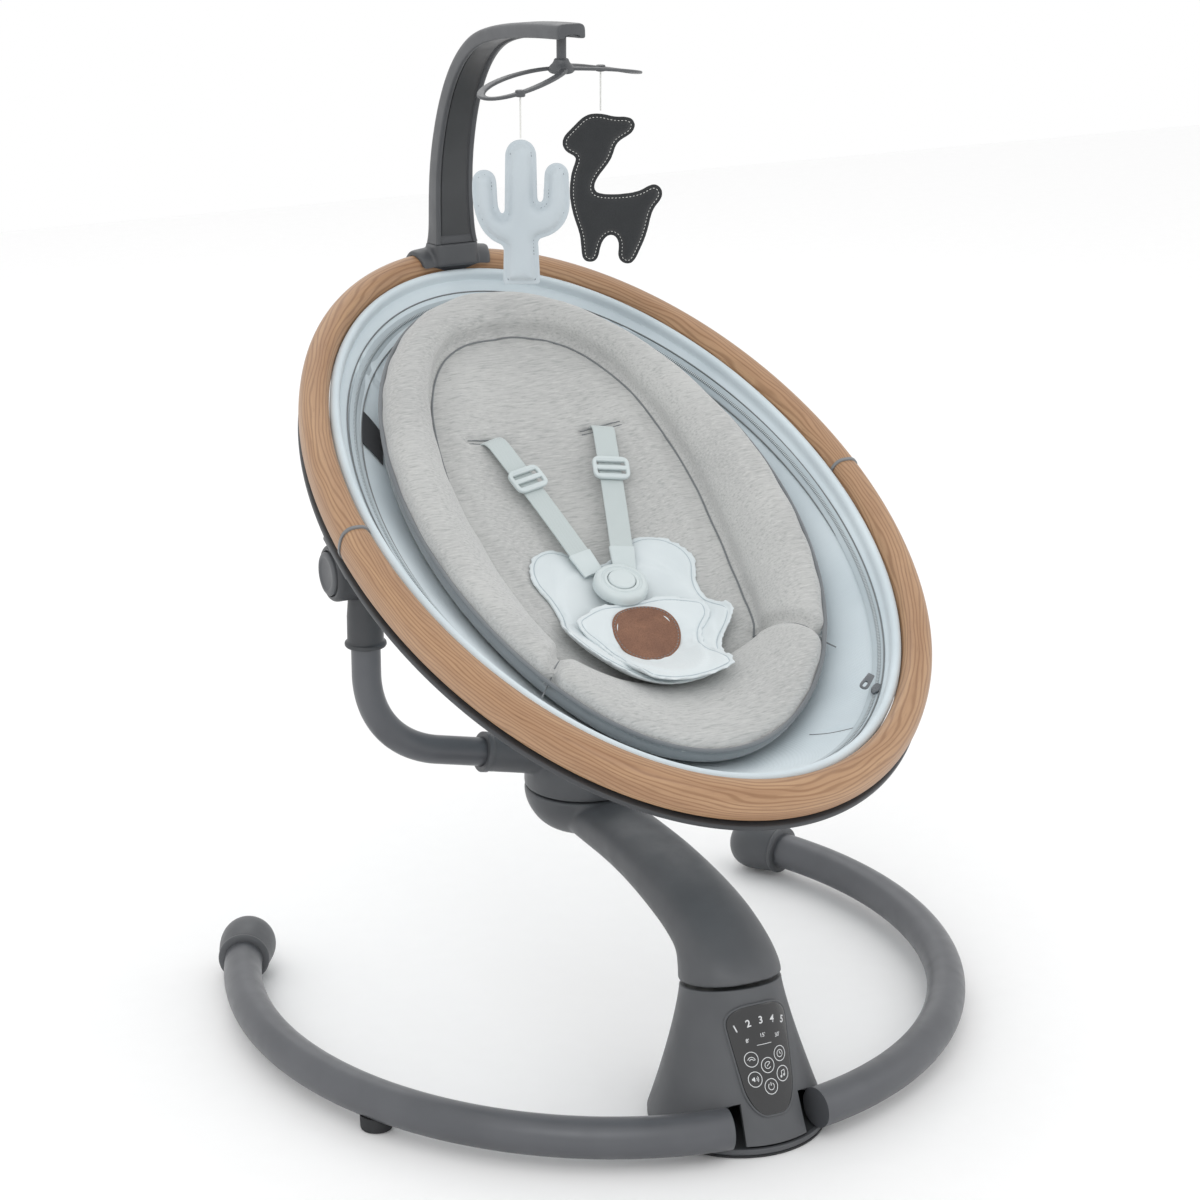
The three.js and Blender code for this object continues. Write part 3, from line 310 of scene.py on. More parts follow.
# %% [markdown]
# A finished piece gets its material, smooth shading with sharp corners kept, the body it moves with and the
# plain parts that it takes the place of.

# %% Finish a piece
def finish(obj, body, slot, material, *nodes, sharp=40):
    """Sets a piece's looks and says which body it rides on and which plain parts it replaces."""
    obj.data.materials.clear()
    obj.data.materials.append(material)
    obj.data.polygons.foreach_set("use_smooth", np.ones(len(obj.data.polygons), dtype=bool))
    if sharp is not None:
        obj.data.set_sharp_from_angle(angle=math.radians(sharp))
    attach(obj, body)
    if nodes:
        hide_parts(*nodes)
    return obj


def apply_modifiers(obj):
    """Turns what the modifiers show into the mesh itself."""
    shown = obj.evaluated_get(bpy.context.evaluated_depsgraph_get())
    mesh = bpy.data.meshes.new_from_object(shown)
    obj.modifiers.clear()
    old, obj.data = obj.data, mesh
    bpy.data.meshes.remove(old)
    return obj


def joined(name, objects):
    """One object from several, without merging them."""
    for other in bpy.context.selected_objects:
        other.select_set(False)
    for obj in objects:
        obj.select_set(True)
    bpy.context.view_layer.objects.active = objects[0]
    bpy.ops.object.join()
    objects[0].name = name
    objects[0].data.name = name
    return objects[0]


def melted(name, objects, voxel, smooth):
    """Overlapping closed shapes made one skin: a voxel remesh, then smoothing that rounds the joins."""
    obj = joined(name, objects)
    remesh = obj.modifiers.new("one_skin", "REMESH")
    remesh.mode = "VOXEL"
    remesh.voxel_size = voxel
    apply_modifiers(obj)
    soften = obj.modifiers.new("round_joins", "SMOOTH")
    soften.factor = 0.5
    soften.iterations = smooth
    return apply_modifiers(obj)


def cut_out(obj, *tools):
    """Takes the tools' shapes out of a closed mesh and removes the tools."""
    for tool in tools:
        cut = obj.modifiers.new("cut", "BOOLEAN")
        cut.operation = "DIFFERENCE"
        cut.solver = "EXACT"
        cut.object = tool
        apply_modifiers(obj)
        bpy.data.objects.remove(tool)
    return obj


print("finishing steps are ready")

# %% [markdown]
# ## Finishes
# A material is a small graph of nodes. Patterns on mouldings read Object coordinates, so they sit still in
# the piece; patterns that follow a surface, such as wood grain and webbing, read its UV map in metres.

# %% Node spellings
def srgb(*rgb):
    """A colour of 0..255 values as linear RGBA."""
    c = np.array(rgb) / 255
    return (*np.where(c <= 0.04045, c / 12.92, ((c + 0.055) / 1.055) ** 2.4).tolist(), 1.0)


def add(tree, kind, inputs=None, **settings):
    """Adds a shader node; each input is a plain value or another node's output."""
    node = tree.nodes.new("ShaderNode" + kind)
    for name, value in settings.items():
        setattr(node, name, value)
    for name, value in (inputs or {}).items():
        if isinstance(value, bpy.types.NodeSocket):
            tree.links.new(value, node.inputs[name])
        else:
            node.inputs[name].default_value = value
    return node


def maths(tree, operation, a, b=0.0):
    return add(tree, "Math", {0: a, 1: b}, operation=operation).outputs[0]


def stretched(tree, source, scale, turn=(0, 0, 0)):
    """Coordinates multiplied along each way, in patterns per metre."""
    return add(tree, "Mapping", {"Vector": source, "Scale": scale, "Rotation": turn}).outputs[0]


def noise(tree, vector, scale=1.0, detail=2.0, roughness=0.5):
    node = add(tree, "TexNoise", {"Vector": vector, "Scale": scale, "Detail": detail,
                                  "Roughness": roughness})
    return node.outputs["Fac"]


def waves(tree, vector, scale, distortion=0.0, detail=1.0):
    """Bands along the first coordinate, from 0 to 1; `scale` is in bands per unit."""
    spread = scale / 3.18
    node = add(tree, "TexWave", {"Vector": vector, "Scale": spread, "Distortion": distortion,
                                 "Detail": detail}, wave_type="BANDS", bands_direction="X")
    return node.outputs["Fac"]


def steps(tree, value, low, high, out_low=0.0, out_high=1.0):
    """Maps low..high to out_low..out_high and holds it outside."""
    node = add(tree, "MapRange", {0: value, 1: low, 2: high, 3: out_low, 4: out_high}, clamp=True)
    return node.outputs[0]


def mixed(tree, amount, a, b):
    """A colour between a and b."""
    node = add(tree, "Mix", {0: amount, 6: a, 7: b}, data_type="RGBA")
    return node.outputs[2]


def bumped(tree, height, depth, strength=1.0, normal=None):
    inputs = {"Height": height, "Distance": depth, "Strength": strength}
    if normal is not None:
        inputs["Normal"] = normal
    return add(tree, "Bump", inputs).outputs[0]


def start(name, **sockets):
    """A new material with its shader's plain values set; returns material, tree and shader."""
    material = bpy.data.materials.new(name)
    material.use_nodes = True
    tree = material.node_tree
    shader = tree.nodes["Principled BSDF"]
    for key, value in sockets.items():
        shader.inputs[key.replace("_", " ")].default_value = value
    return material, tree, shader


def wire(tree, shader, **outputs):
    for key, value in outputs.items():
        tree.links.new(value, shader.inputs[key.replace("_", " ")])


def object_place(tree):
    return add(tree, "TexCoord").outputs["Object"]


def surface_place(tree):
    return add(tree, "TexCoord").outputs["UV"]


# %% [markdown]
# Moulded plastic has a fine spark-eroded grain that dulls its highlights, slight clouds where the melt
# flowed, and a satin sheen. The same recipe with other numbers gives satin paint on the steel tubes.

# %% Mouldings and paint
def moulded(name, light, dark, roughness, grain=2600, depth=0.00004, **sockets):
    """Plastic with clouds of two near colours and a fine grain."""
    material, tree, shader = start(name, **sockets)
    at = object_place(tree)
    clouds = noise(tree, at, 14, 3)
    specks = noise(tree, at, grain, 2, 0.6)
    colour = mixed(tree, steps(tree, clouds, 0.35, 0.65), dark, light)
    tint = mixed(tree, steps(tree, specks, 0.3, 0.7, 0.0, 0.25), colour, dark)
    gloss = steps(tree, noise(tree, at, 60, 4), 0.3, 0.7, roughness - 0.05, roughness + 0.06)
    wire(tree, shader, Base_Color=tint, Roughness=gloss, Normal=bumped(tree, specks, depth))
    return material


graphite = moulded("graphite_plastic", srgb(86, 88, 91), srgb(77, 79, 82), 0.46)
tube_paint = moulded("graphite_paint", srgb(92, 94, 98), srgb(85, 87, 91), 0.4, 1800, 0.00002,
                     Metallic=0.25, Coat_Weight=0.15, Coat_Roughness=0.3)
dark_plastic = moulded("dark_plastic", srgb(64, 66, 69), srgb(56, 58, 61), 0.45)
bar_plastic = moulded("toy_bar_plastic", srgb(80, 82, 85), srgb(72, 74, 77), 0.4)
# the channel strip is the arch's own plastic, coloured darker as painted shade of the channel
bar_channel_shade = moulded("toy_bar_channel_shade", srgb(63, 65, 67), srgb(54, 56, 58), 0.38)
divider_plastic = moulded("divider_plastic", srgb(128, 130, 132), srgb(112, 114, 116), 0.45)
rubber = moulded("rubber", srgb(52, 53, 55), srgb(42, 43, 45), 0.85, 1500, 0.00008)
pale_plastic = moulded("pale_plastic", srgb(208, 217, 218), srgb(198, 208, 209), 0.38, 2000, 0.00001)
gear_plastic = moulded("gear_plastic", srgb(228, 223, 209), srgb(216, 210, 196), 0.5)
panel_black = moulded("touch_panel", srgb(30, 31, 33), srgb(24, 25, 27), 0.12, 900, 0.000002,
                      Coat_Weight=0.6, Coat_Roughness=0.05)
panel_white = moulded("panel_print", srgb(226, 228, 230), srgb(214, 216, 218), 0.5, 900, 0.000002)
board_green = moulded("circuit_board", srgb(48, 98, 62), srgb(38, 82, 52), 0.45, 700, 0.00003)
print("mouldings:", graphite.name, tube_paint.name, dark_plastic.name, bar_plastic.name)

# %% [markdown]
# Turned steel carries fine rings and a brighter reflection than paint, so it is a metal whose roughness
# changes in thin bands.

# %% Steel
def brushed_steel():
    material, tree, shader = start("steel", Metallic=1.0)
    at = object_place(tree)
    bands = noise(tree, stretched(tree, at, (300, 300, 4000)), 1, 2)
    colour = mixed(tree, bands, srgb(150, 152, 155), srgb(190, 192, 195))
    wire(tree, shader, Base_Color=colour, Roughness=steps(tree, bands, 0.3, 0.7, 0.22, 0.38),
         Normal=bumped(tree, bands, 0.00001))
    return material


steel = brushed_steel()
print("steel:", steel.name)

# %% [markdown]
# The rim is bent from ash or oak: long lines of late wood run round it, some of them closing in tall
# arches, with dark open pores between. The pattern is drawn on the surface's own map, stretched along the
# bend, and the wandering of the lines comes from a slow noise added to them.

# %% Wood
def bent_wood():
    material, tree, shader = start("bent_wood", Coat_Weight=0.12, Coat_Roughness=0.35)
    at = surface_place(tree)
    wander = noise(tree, stretched(tree, at, (16, 3.2, 1)), 1, 3, 0.55)
    split = add(tree, "SeparateXYZ", {0: at})
    shifted = maths(tree, "ADD", split.outputs[0], maths(tree, "MULTIPLY", wander, 0.055))
    rings = add(tree, "CombineXYZ", {0: shifted, 1: maths(tree, "MULTIPLY", split.outputs[1], 0.02)})
    late = waves(tree, rings.outputs[0], 240, 1.4, 2)
    broad = noise(tree, stretched(tree, at, (90, 5, 1)), 1, 4, 0.6)
    pores = noise(tree, stretched(tree, at, (1500, 45, 1)), 1, 3, 0.65)
    fibre = noise(tree, stretched(tree, at, (3200, 120, 1)), 1, 2)
    base = mixed(tree, steps(tree, broad, 0.3, 0.72), srgb(158, 120, 88), srgb(186, 150, 115))
    lined = mixed(tree, steps(tree, late, 0.45, 0.95, 0.0, 0.62), base, srgb(132, 94, 62))
    pored = mixed(tree, steps(tree, pores, 0.58, 0.72, 0.0, 0.5), lined, srgb(100, 68, 44))
    height = maths(tree, "SUBTRACT", steps(tree, fibre, 0.3, 0.7, 0.0, 0.3),
                   steps(tree, pores, 0.58, 0.7))
    wire(tree, shader, Base_Color=pored, Roughness=steps(tree, late, 0, 1, 0.5, 0.42),
         Normal=bumped(tree, height, 0.0001, 0.6))
    return material


wood = bent_wood()
print("wood:", wood.name)

# %% [markdown]
# ## Cloths
# The basin is a close plain weave, the insert a heather jersey whose light and dark slubs run across the
# seat, the straps a ribbed webbing and the toys brushed felt. Cloth scatters light at its edges, so each
# one has sheen, and its threads are in the bump as well as in the colour.

# %% Woven and knitted cloth
def plain_weave(name, light, dark, pitch=1100, fuzz=0.35):
    """Threads crossing at `pitch` to the metre, with slow shading as of handled cloth."""
    material, tree, shader = start(name, Roughness=0.92, Sheen_Weight=fuzz, Sheen_Roughness=0.45)
    at = object_place(tree)
    over = waves(tree, at, pitch, 0.6, 2)
    under = waves(tree, stretched(tree, at, (1, 1, 1), (0.4, math.radians(90), 0.3)), pitch, 0.6, 2)
    threads_up = maths(tree, "MULTIPLY", over, under)
    clouds = noise(tree, at, 9, 3)
    flecks = noise(tree, at, 1600, 2)
    base = mixed(tree, steps(tree, clouds, 0.3, 0.7), dark, light)
    colour = mixed(tree, steps(tree, threads_up, 0.0, 0.6, 0.22, 0.0), base, dark)
    height = maths(tree, "ADD", threads_up, maths(tree, "MULTIPLY", flecks, 0.6))
    wire(tree, shader, Base_Color=colour, Normal=bumped(tree, height, 0.00012, 0.7))
    return material


def heather_jersey(name, light, middle_tone, dark):
    """A knit whose yarns are streaked: noise stretched across the seat, over fine ribs."""
    material, tree, shader = start(name, Roughness=0.95, Sheen_Weight=0.4, Sheen_Roughness=0.5)
    at = object_place(tree)
    slubs = noise(tree, stretched(tree, at, (75, 620, 620)), 1, 3, 0.6)
    fine = noise(tree, stretched(tree, at, (220, 2200, 2200)), 1, 2, 0.6)
    specks = noise(tree, at, 1900, 2)
    clouds = noise(tree, at, 12, 3)
    base = mixed(tree, steps(tree, clouds, 0.3, 0.7, 0.0, 0.5), middle_tone, light)
    bright = mixed(tree, steps(tree, slubs, 0.53, 0.68, 0.0, 0.85), base, light)
    shaded = mixed(tree, steps(tree, slubs, 0.47, 0.33, 0.0, 0.6), bright, dark)
    colour = mixed(tree, steps(tree, fine, 0.55, 0.75, 0.0, 0.4), shaded, dark)
    height = maths(tree, "ADD", fine, maths(tree, "MULTIPLY", specks, 0.6))
    wire(tree, shader, Base_Color=colour, Normal=bumped(tree, height, 0.00025, 0.7))
    return material


def ribbed_webbing(name, light, dark, pitch=820):
    """Weft ribs across a strap, each a rounded bar, with a fine warp over them."""
    material, tree, shader = start(name, Roughness=0.7, Sheen_Weight=0.25, Sheen_Roughness=0.4)
    at = surface_place(tree)
    ribs = waves(tree, stretched(tree, at, (1, 1, 1), (0, 0, math.radians(90))), pitch, 0.25, 1)
    warp = waves(tree, at, 1500, 0.3, 1)
    height = maths(tree, "ADD", ribs, maths(tree, "MULTIPLY", warp, 0.5))
    colour = mixed(tree, steps(tree, height, 0.1, 0.9), dark, light)
    wire(tree, shader, Base_Color=colour, Normal=bumped(tree, height, 0.0002, 0.7))
    return material


def brushed_felt(name, light, dark, fuzz=0.3):
    """Matted fibres: two sizes of noise, soft clouds and a sheen."""
    material, tree, shader = start(name, Roughness=0.95, Sheen_Weight=fuzz, Sheen_Roughness=0.5)
    at = object_place(tree)
    fibres = noise(tree, at, 1300, 4, 0.7)
    clouds = noise(tree, at, 45, 3)
    colour = mixed(tree, steps(tree, fibres, 0.35, 0.65), dark, light)
    tinted = mixed(tree, steps(tree, clouds, 0.35, 0.65, 0.0, 0.4), colour, dark)
    wire(tree, shader, Base_Color=tinted, Normal=bumped(tree, fibres, 0.0003, 0.8))
    return material


basin_cloth = plain_weave("basin_cloth", srgb(214, 225, 230), srgb(198, 210, 216))
tape_cloth = plain_weave("zip_tape", srgb(190, 201, 206), srgb(172, 184, 190), 1500)
pad_cloth = plain_weave("pad_cloth", srgb(222, 229, 231), srgb(208, 217, 220), 1300)
jersey = heather_jersey("heather_jersey", srgb(197, 198, 196), srgb(178, 179, 178), srgb(147, 150, 149))
band_cloth = plain_weave("side_band", srgb(150, 155, 158), srgb(136, 141, 144), 1300)
piping_cloth = plain_weave("piping", srgb(128, 132, 135), srgb(114, 118, 122), 1500)
seam_thread = brushed_felt("seam_thread", srgb(128, 132, 134), srgb(112, 116, 119), 0.1)
webbing = ribbed_webbing("webbing", srgb(200, 209, 209), srgb(176, 187, 187))
cactus_cloth = plain_weave("cactus_cloth", srgb(194, 203, 208), srgb(179, 189, 195), 1200)
animal_felt = brushed_felt("animal_felt", srgb(54, 56, 58), srgb(42, 44, 46))
white_thread = brushed_felt("white_thread", srgb(236, 236, 233), srgb(214, 214, 210), 0.2)
dark_thread = brushed_felt("dark_thread", srgb(96, 104, 112), srgb(80, 88, 96), 0.1)
label_cloth = plain_weave("label_cloth", srgb(46, 48, 52), srgb(38, 40, 44), 1500, 0.1)
print("cloths:", basin_cloth.name, jersey.name, webbing.name, animal_felt.name)

# %% [markdown]
# The patch on the belly pad is embossed leather: a pebble grain of cells with creases between them.

# %% Leather
def pebbled_leather():
    material, tree, shader = start("leather", Coat_Weight=0.05, Coat_Roughness=0.5)
    at = object_place(tree)
    cells = add(tree, "TexVoronoi", {"Vector": at, "Scale": 900.0}).outputs["Distance"]
    clouds = noise(tree, at, 70, 4)
    base = mixed(tree, steps(tree, clouds, 0.3, 0.7), srgb(118, 81, 62), srgb(137, 97, 74))
    colour = mixed(tree, steps(tree, cells, 0.4, 0.75, 0.0, 0.35), base, srgb(92, 60, 44))
    wire(tree, shader, Base_Color=colour, Roughness=steps(tree, cells, 0.2, 0.8, 0.5, 0.66),
         Normal=bumped(tree, cells, -0.00012, 0.7))
    return material


leather = pebbled_leather()
print("leather:", leather.name)

# %% [markdown]
# ## The base
# Two bent steel tubes make a C on the floor, open at the back. Each is a circle carried along part of an
# ellipse: x = a sin t, y = b cos t, for t from inside the housing to the end cap.

# %% Legs
LEG = {"radius": 18.5, "z": 28, "half_x": 339.4, "half_y": 362.9, "centre_y": 32.7, "from": 7.5, "to": 118}
UP = (0, 0, 1)
SIDES = ((-1, "left"), (1, "right"))


def leg_path(side, first, last, count):
    t = np.radians(np.linspace(first, last, count))
    return np.stack([side * LEG["half_x"] * np.sin(t), LEG["centre_y"] - LEG["half_y"] * np.cos(t),
                     np.full(count, float(LEG["z"]))], 1)


for side, word in SIDES:
    path = leg_path(side, LEG["from"], LEG["to"], 150)
    leg = grid_object(f"leg_tube_{word}", world(swept(path, oval(37, 37, 2, 56), UP)))
    finish(leg, "base", "painted_tube", tube_paint, f"base_leg_{word}")
print("leg tubes with", len(leg.data.polygons), "faces each")

# %% [markdown]
# A moulded cap is pushed on each tube's end: a collar with a rolled lip, then a swell to a round nose. Its
# radius at each station along the leg's curve is a swell times the fall of a flattened sphere.

# %% End caps and feet
CAP = {"radius": 27.5, "collar": 23.5, "length": 62, "overlap": 14}
deg_per_mm = 360 / (math.pi * (LEG["half_x"] + LEG["half_y"]))


def end_cap(side, word):
    s = np.concatenate([[0, 0, 0.012, 0.03, 0.055, 0.075, 0.09],
                        0.1 + 0.9 * np.sin(np.linspace(0, np.pi / 2, 44))])
    nose = np.sqrt(np.clip(1 - np.clip((s - 0.5) / 0.5, 0, 1) ** 2.6, 0, 1))
    swell = CAP["collar"] + (CAP["radius"] - CAP["collar"]) * np.sin(np.minimum(1, s / 0.6) * np.pi / 2)
    lip = np.array([-4.0, 0.2, 1.0, 1.3, 1.0, 0.1, -0.7])
    radius = swell * nose + np.concatenate([lip, np.full(44, 0.0)])
    radius[7:14] -= np.linspace(0.5, 0, 7)
    first = LEG["to"] - CAP["overlap"] * deg_per_mm
    angle = first + s * CAP["length"] * deg_per_mm
    t = np.radians(angle)
    path = np.stack([side * LEG["half_x"] * np.sin(t), LEG["centre_y"] - LEG["half_y"] * np.cos(t),
                     np.full(len(t), float(LEG["z"]))], 1)
    direction = np.stack([side * LEG["half_x"] * np.cos(t), LEG["half_y"] * np.sin(t), 0 * t], 1)
    direction /= np.linalg.norm(direction, axis=1)[:, None]
    across = np.cross(direction, UP)
    ring = oval(2, 2, 2, 64)
    radius = np.maximum(radius, 0.05)[:, None, None]
    grid = path[:, None] + radius * (ring[:, :1] * across[:, None] + ring[:, 1:] * np.array(UP))
    cap = grid_object(f"end_cap_{word}", world(grid))
    return finish(cap, "base", "graphite_plastic", graphite, f"leg_end_cap_{word}", sharp=50)


FOOT = {"radius": 15, "height": 14, "angle": 62}


def rubber_foot(side, word):
    """A disc whose top follows the tube: z = leg height - sqrt(R^2 - d^2), d the distance from its line."""
    centre = leg_path(side, FOOT["angle"], FOOT["angle"], 1)[0]
    t = math.radians(FOOT["angle"])
    along = np.array([side * LEG["half_x"] * math.cos(t), LEG["half_y"] * math.sin(t)])
    along /= np.linalg.norm(along)
    profile = rounded([[0.01, 0], [14.6, 0], [FOOT["radius"], 8], [FOOT["radius"], FOOT["height"]]], 1.6)
    disc = turned(profile, 64)
    top = turned(np.column_stack([np.linspace(FOOT["radius"], 0.01, 14), np.full(14, 50.0)]), 64)
    off = np.abs(top[..., 0] * along[1] - top[..., 1] * along[0])
    top[..., 2] = np.minimum(LEG["z"] - np.sqrt((LEG["radius"] + 0.4) ** 2 - off**2), FOOT["height"])
    foot = grid_object(f"rubber_foot_{word}", world(moved(np.vstack([disc, top]), [*centre[:2], 0])))
    return finish(foot, "base", "rubber_foot", rubber, f"leg_foot_{word}")


for side, word in SIDES:
    end_cap(side, word)
    rubber_foot(side, word)
print("caps", CAP["length"], "mm long and feet", 2 * FOOT["radius"], "mm across")

# %% [markdown]
# The housing is a bell: its radius is 45.5 + 38.5 (1 - z/129)^1.25. It leans back as it rises and its top
# is tilted square to the swing axis, so each point is shifted by a share of its height. The wall is real,
# and the legs' holes are cut through it. A parting line near the floor separates shell from base.

# %% Motor housing
BELL = {"y": -262, "height": 129, "wall": 3.5, "lean": 16, "tilt": 13, "shaft_bore": 14, "seam": 8.4}
SWING = {"y": BELL["y"] + BELL["lean"], "z": BELL["height"], "tilt": BELL["tilt"]}


def bell_radius(z):
    return 45.5 + 38.5 * np.clip(1 - np.asarray(z) / BELL["height"], 0, 1) ** 1.25


def leaned(points):
    """Leans the bell back and tilts its top square to the swing axis."""
    points = np.asarray(points, dtype=float)
    x, y, z = points[..., 0], points[..., 1], points[..., 2]
    k = z / BELL["height"]
    return np.stack([x, BELL["y"] + y + BELL["lean"] * k, z - k * math.tan(math.radians(BELL["tilt"])) * y],
                    -1)


def bell_point(angle, z, offset):
    """A point of the bell's face at an angle from its front, pushed out by an offset."""
    r = bell_radius(z) + offset
    return leaned(np.stack([r * np.sin(angle), -r * np.cos(angle), z], -1))


def leg_cutter(side, clearance):
    path = leg_path(side, 5, 30, 40)
    size = 2 * (LEG["radius"] + clearance)
    return grid_object("leg_cutter", world(swept(path, oval(size, size, 2, 56), UP)))


def housing_shell():
    top, wall = BELL["height"], BELL["wall"]
    levels = np.linspace(BELL["seam"] + 1.2, top - 3, 44)
    outer = np.column_stack([bell_radius(levels), levels])
    lip = rounded([[bell_radius(top - 3), top - 3], [45.7, top], [41, top], [39.5, top - 2.6],
                   [BELL["shaft_bore"], top - 2.6], [BELL["shaft_bore"], top - 6]], 1.3)
    inner = np.column_stack([bell_radius(levels) - wall, np.minimum(levels, top - 6.4)])[::-1]
    foot = [[inner[-1, 0], BELL["seam"] + 0.6], [outer[0, 0] - 1.0, BELL["seam"] + 0.6],
            [outer[0, 0] - 0.4, BELL["seam"] + 0.8]]
    profile = np.vstack([outer, lip[1:], inner, foot])
    shell = grid_object("housing_shell", world(leaned(turned(profile, 128))), (True, True))
    cut_out(shell, leg_cutter(-1, 0.8), leg_cutter(1, 0.8))
    return finish(shell, "base", "graphite_plastic", graphite, "motor_housing", sharp=35)


def housing_base():
    seam = BELL["seam"]
    rim = bell_radius(seam)
    profile = rounded([[0.01, 2.3], [79, 2.3], [rim - 1.6, 2.3], [rim - 0.1, 4.2], [rim, seam - 0.3],
                       [rim - 0.6, seam], [rim - 4, seam], [rim - 5, 5.7], [0.01, 5.7]], 0.8)
    grid = moved(turned(profile, 128), (0, BELL["y"], 0))
    base = grid_object("housing_base", world(grid))
    cut_out(base, leg_cutter(-1, 0.6), leg_cutter(1, 0.6))
    return finish(base, "base", "dark_plastic", graphite, "housing_base_plate", sharp=35)


shell, base = housing_shell(), housing_base()
ring = grid_object("rubber_ring", world(moved(turned(
    rounded([[66, 1], [66, 0], [73, 0], [80, 0], [80, 2], [66, 2], [66, 1]], 0.5), 96), (0, BELL["y"], 0))))
finish(ring, "base", "rubber_foot", rubber, "housing_foot_ring")
print("housing shell has", len(shell.data.polygons), "faces")

# %% [markdown]
# ## The touch panel
# The panel is a shield, wide at the digits and round at the foot, that follows the bell. Its half width is
# 5 + (17 + 11 s) times two falls, one at each end. A rounded edge is a lift that drops over the last 2.5 mm.

# %% Panel
PANEL = {"low": 30, "high": 116, "thick": 2.4, "length": 90}


def panel_half_width(s):
    low = np.sqrt(np.clip(1 - (1 - np.clip(s / 0.3, 0, 1)) ** 2.4, 0, 1))
    high = np.sqrt(np.clip(1 - np.clip((s - 0.78) / 0.22, 0, 1) ** 2.4, 0, 1))
    return 5 + (17 + 11 * s) * low * high


def panel_grid(lift, columns=65, rows=90):
    """Points of the panel's face: s runs up it and t across it; `lift` maps edge distance to offset."""
    s = (1 - np.cos(np.linspace(0, np.pi, rows))) / 2
    t = np.sin(np.linspace(-np.pi / 2, np.pi / 2, columns))
    half = panel_half_width(s)[:, None]
    x = half * t[None]
    ends = np.minimum(s, 1 - s)[:, None] * PANEL["length"] + 0 * x
    edge = np.minimum(half - np.abs(x), ends)
    z = PANEL["low"] + (PANEL["high"] - PANEL["low"]) * s[:, None] + 0 * x
    return bell_point(x / bell_radius(z), z, lift(edge))


def rounded_edge(height, reach=2.5):
    return lambda edge: 0.2 + height * np.sqrt(1 - (1 - np.clip(edge / reach, 0, 1)) ** 2)


def closed_sheet(name, top, bottom):
    """A thin closed body from two faces with the same grid, joined round their edge."""
    rows, columns = top.shape[:2]
    number = np.arange(rows * columns).reshape(rows, columns)
    quads = lambda n: np.stack([n[:-1, :-1], n[1:, :-1], n[1:, 1:], n[:-1, 1:]], 2).reshape(-1, 4)
    rim = np.concatenate([number[0, :-1], number[:-1, -1], number[-1, :0:-1], number[:0:-1, 0]])
    under = rim + rows * columns
    wall = np.stack([np.roll(rim, -1), rim, under, np.roll(under, -1)], 1)
    faces = np.vstack([quads(number), quads(number + rows * columns)[:, ::-1], wall])
    across, along = np.meshgrid(lengths(top, 1, False), lengths(top, 0, False))
    flat = np.tile(np.stack([across, along], -1).reshape(-1, 2), (2, 1))
    obj = mesh_object(name, np.vstack([top.reshape(-1, 3), bottom.reshape(-1, 3)]), [faces],
                      [flat[faces.ravel()]])
    if signed_volume(obj) < 0:
        obj.data.flip_normals()
    return obj


panel = closed_sheet("touch_panel", world(panel_grid(rounded_edge(PANEL["thick"] - 0.3))),
                     world(panel_grid(lambda edge: 0 * edge - 0.4)))
finish(panel, "base", "touch_panel", panel_black, "control_panel")


def panel_outline(count=160):
    """The panel's edge as angles and heights, once round."""
    s = (1 - np.cos(np.linspace(0, np.pi, count))) / 2
    z = PANEL["low"] + (PANEL["high"] - PANEL["low"]) * s
    half = panel_half_width(s) + 0.9
    x = np.concatenate([half, -half[::-1]])
    z = np.concatenate([z, z[::-1]])
    path = bell_point(x / bell_radius(z), z, 0.7)
    step = np.linalg.norm(np.diff(path, axis=0), axis=1)
    keep = np.concatenate([[True], step > 0.05])
    return path[keep]


front = np.array([0, -math.cos(math.radians(16)), math.sin(math.radians(16))])
bezel = grid_object("panel_bezel", world(swept(panel_outline(), oval(2.4, 3.0, 2, 12), front, True)),
                    (True, True))
finish(bezel, "base", "graphite_plastic", graphite)
print("panel is", PANEL["high"] - PANEL["low"], "mm high")

# %% [markdown]
# The print on the panel is generic: five speed digits in an arc, three timer numbers, a bar and six ringed
# signs. Signs are strokes of a set width; digits come from the built-in font, made a mesh. All are drawn
# flat, then bent onto the bell: the distance across becomes an angle, the distance up a height.

# %% Print on the panel
INK = 0.55


def stroke(points, width=INK, closed=False):
    """A flat ribbon along a line of 2D points: each point moved half a width to either side."""
    points = np.asarray(points, dtype=float)
    if closed:
        points = np.vstack([points, points[:1]])
    direction = np.gradient(points, axis=0)
    if closed:
        direction[0] = direction[-1] = points[1] - points[-2]
    direction /= np.linalg.norm(direction, axis=1)[:, None]
    normal = np.column_stack([-direction[:, 1], direction[:, 0]]) * width / 2
    n = len(points)
    i = np.arange(n - 1)
    faces = np.column_stack([i, i + n, i + n + 1, i + 1])
    return np.vstack([points + normal, points - normal]), faces


def arc(radius, first, last, centre=(0, 0), count=40):
    a = np.radians(np.linspace(first, last, count))
    return np.column_stack([centre[0] + radius * np.cos(a), centre[1] + radius * np.sin(a)])


def line(*points):
    """A polyline with each part cut into short steps, so that it bends with the bell."""
    points = np.asarray(points, dtype=float)
    t = np.linspace(0, len(points) - 1, 8 * (len(points) - 1) + 1)
    k = np.arange(len(points))
    return np.column_stack([np.interp(t, k, points[:, 0]), np.interp(t, k, points[:, 1])])


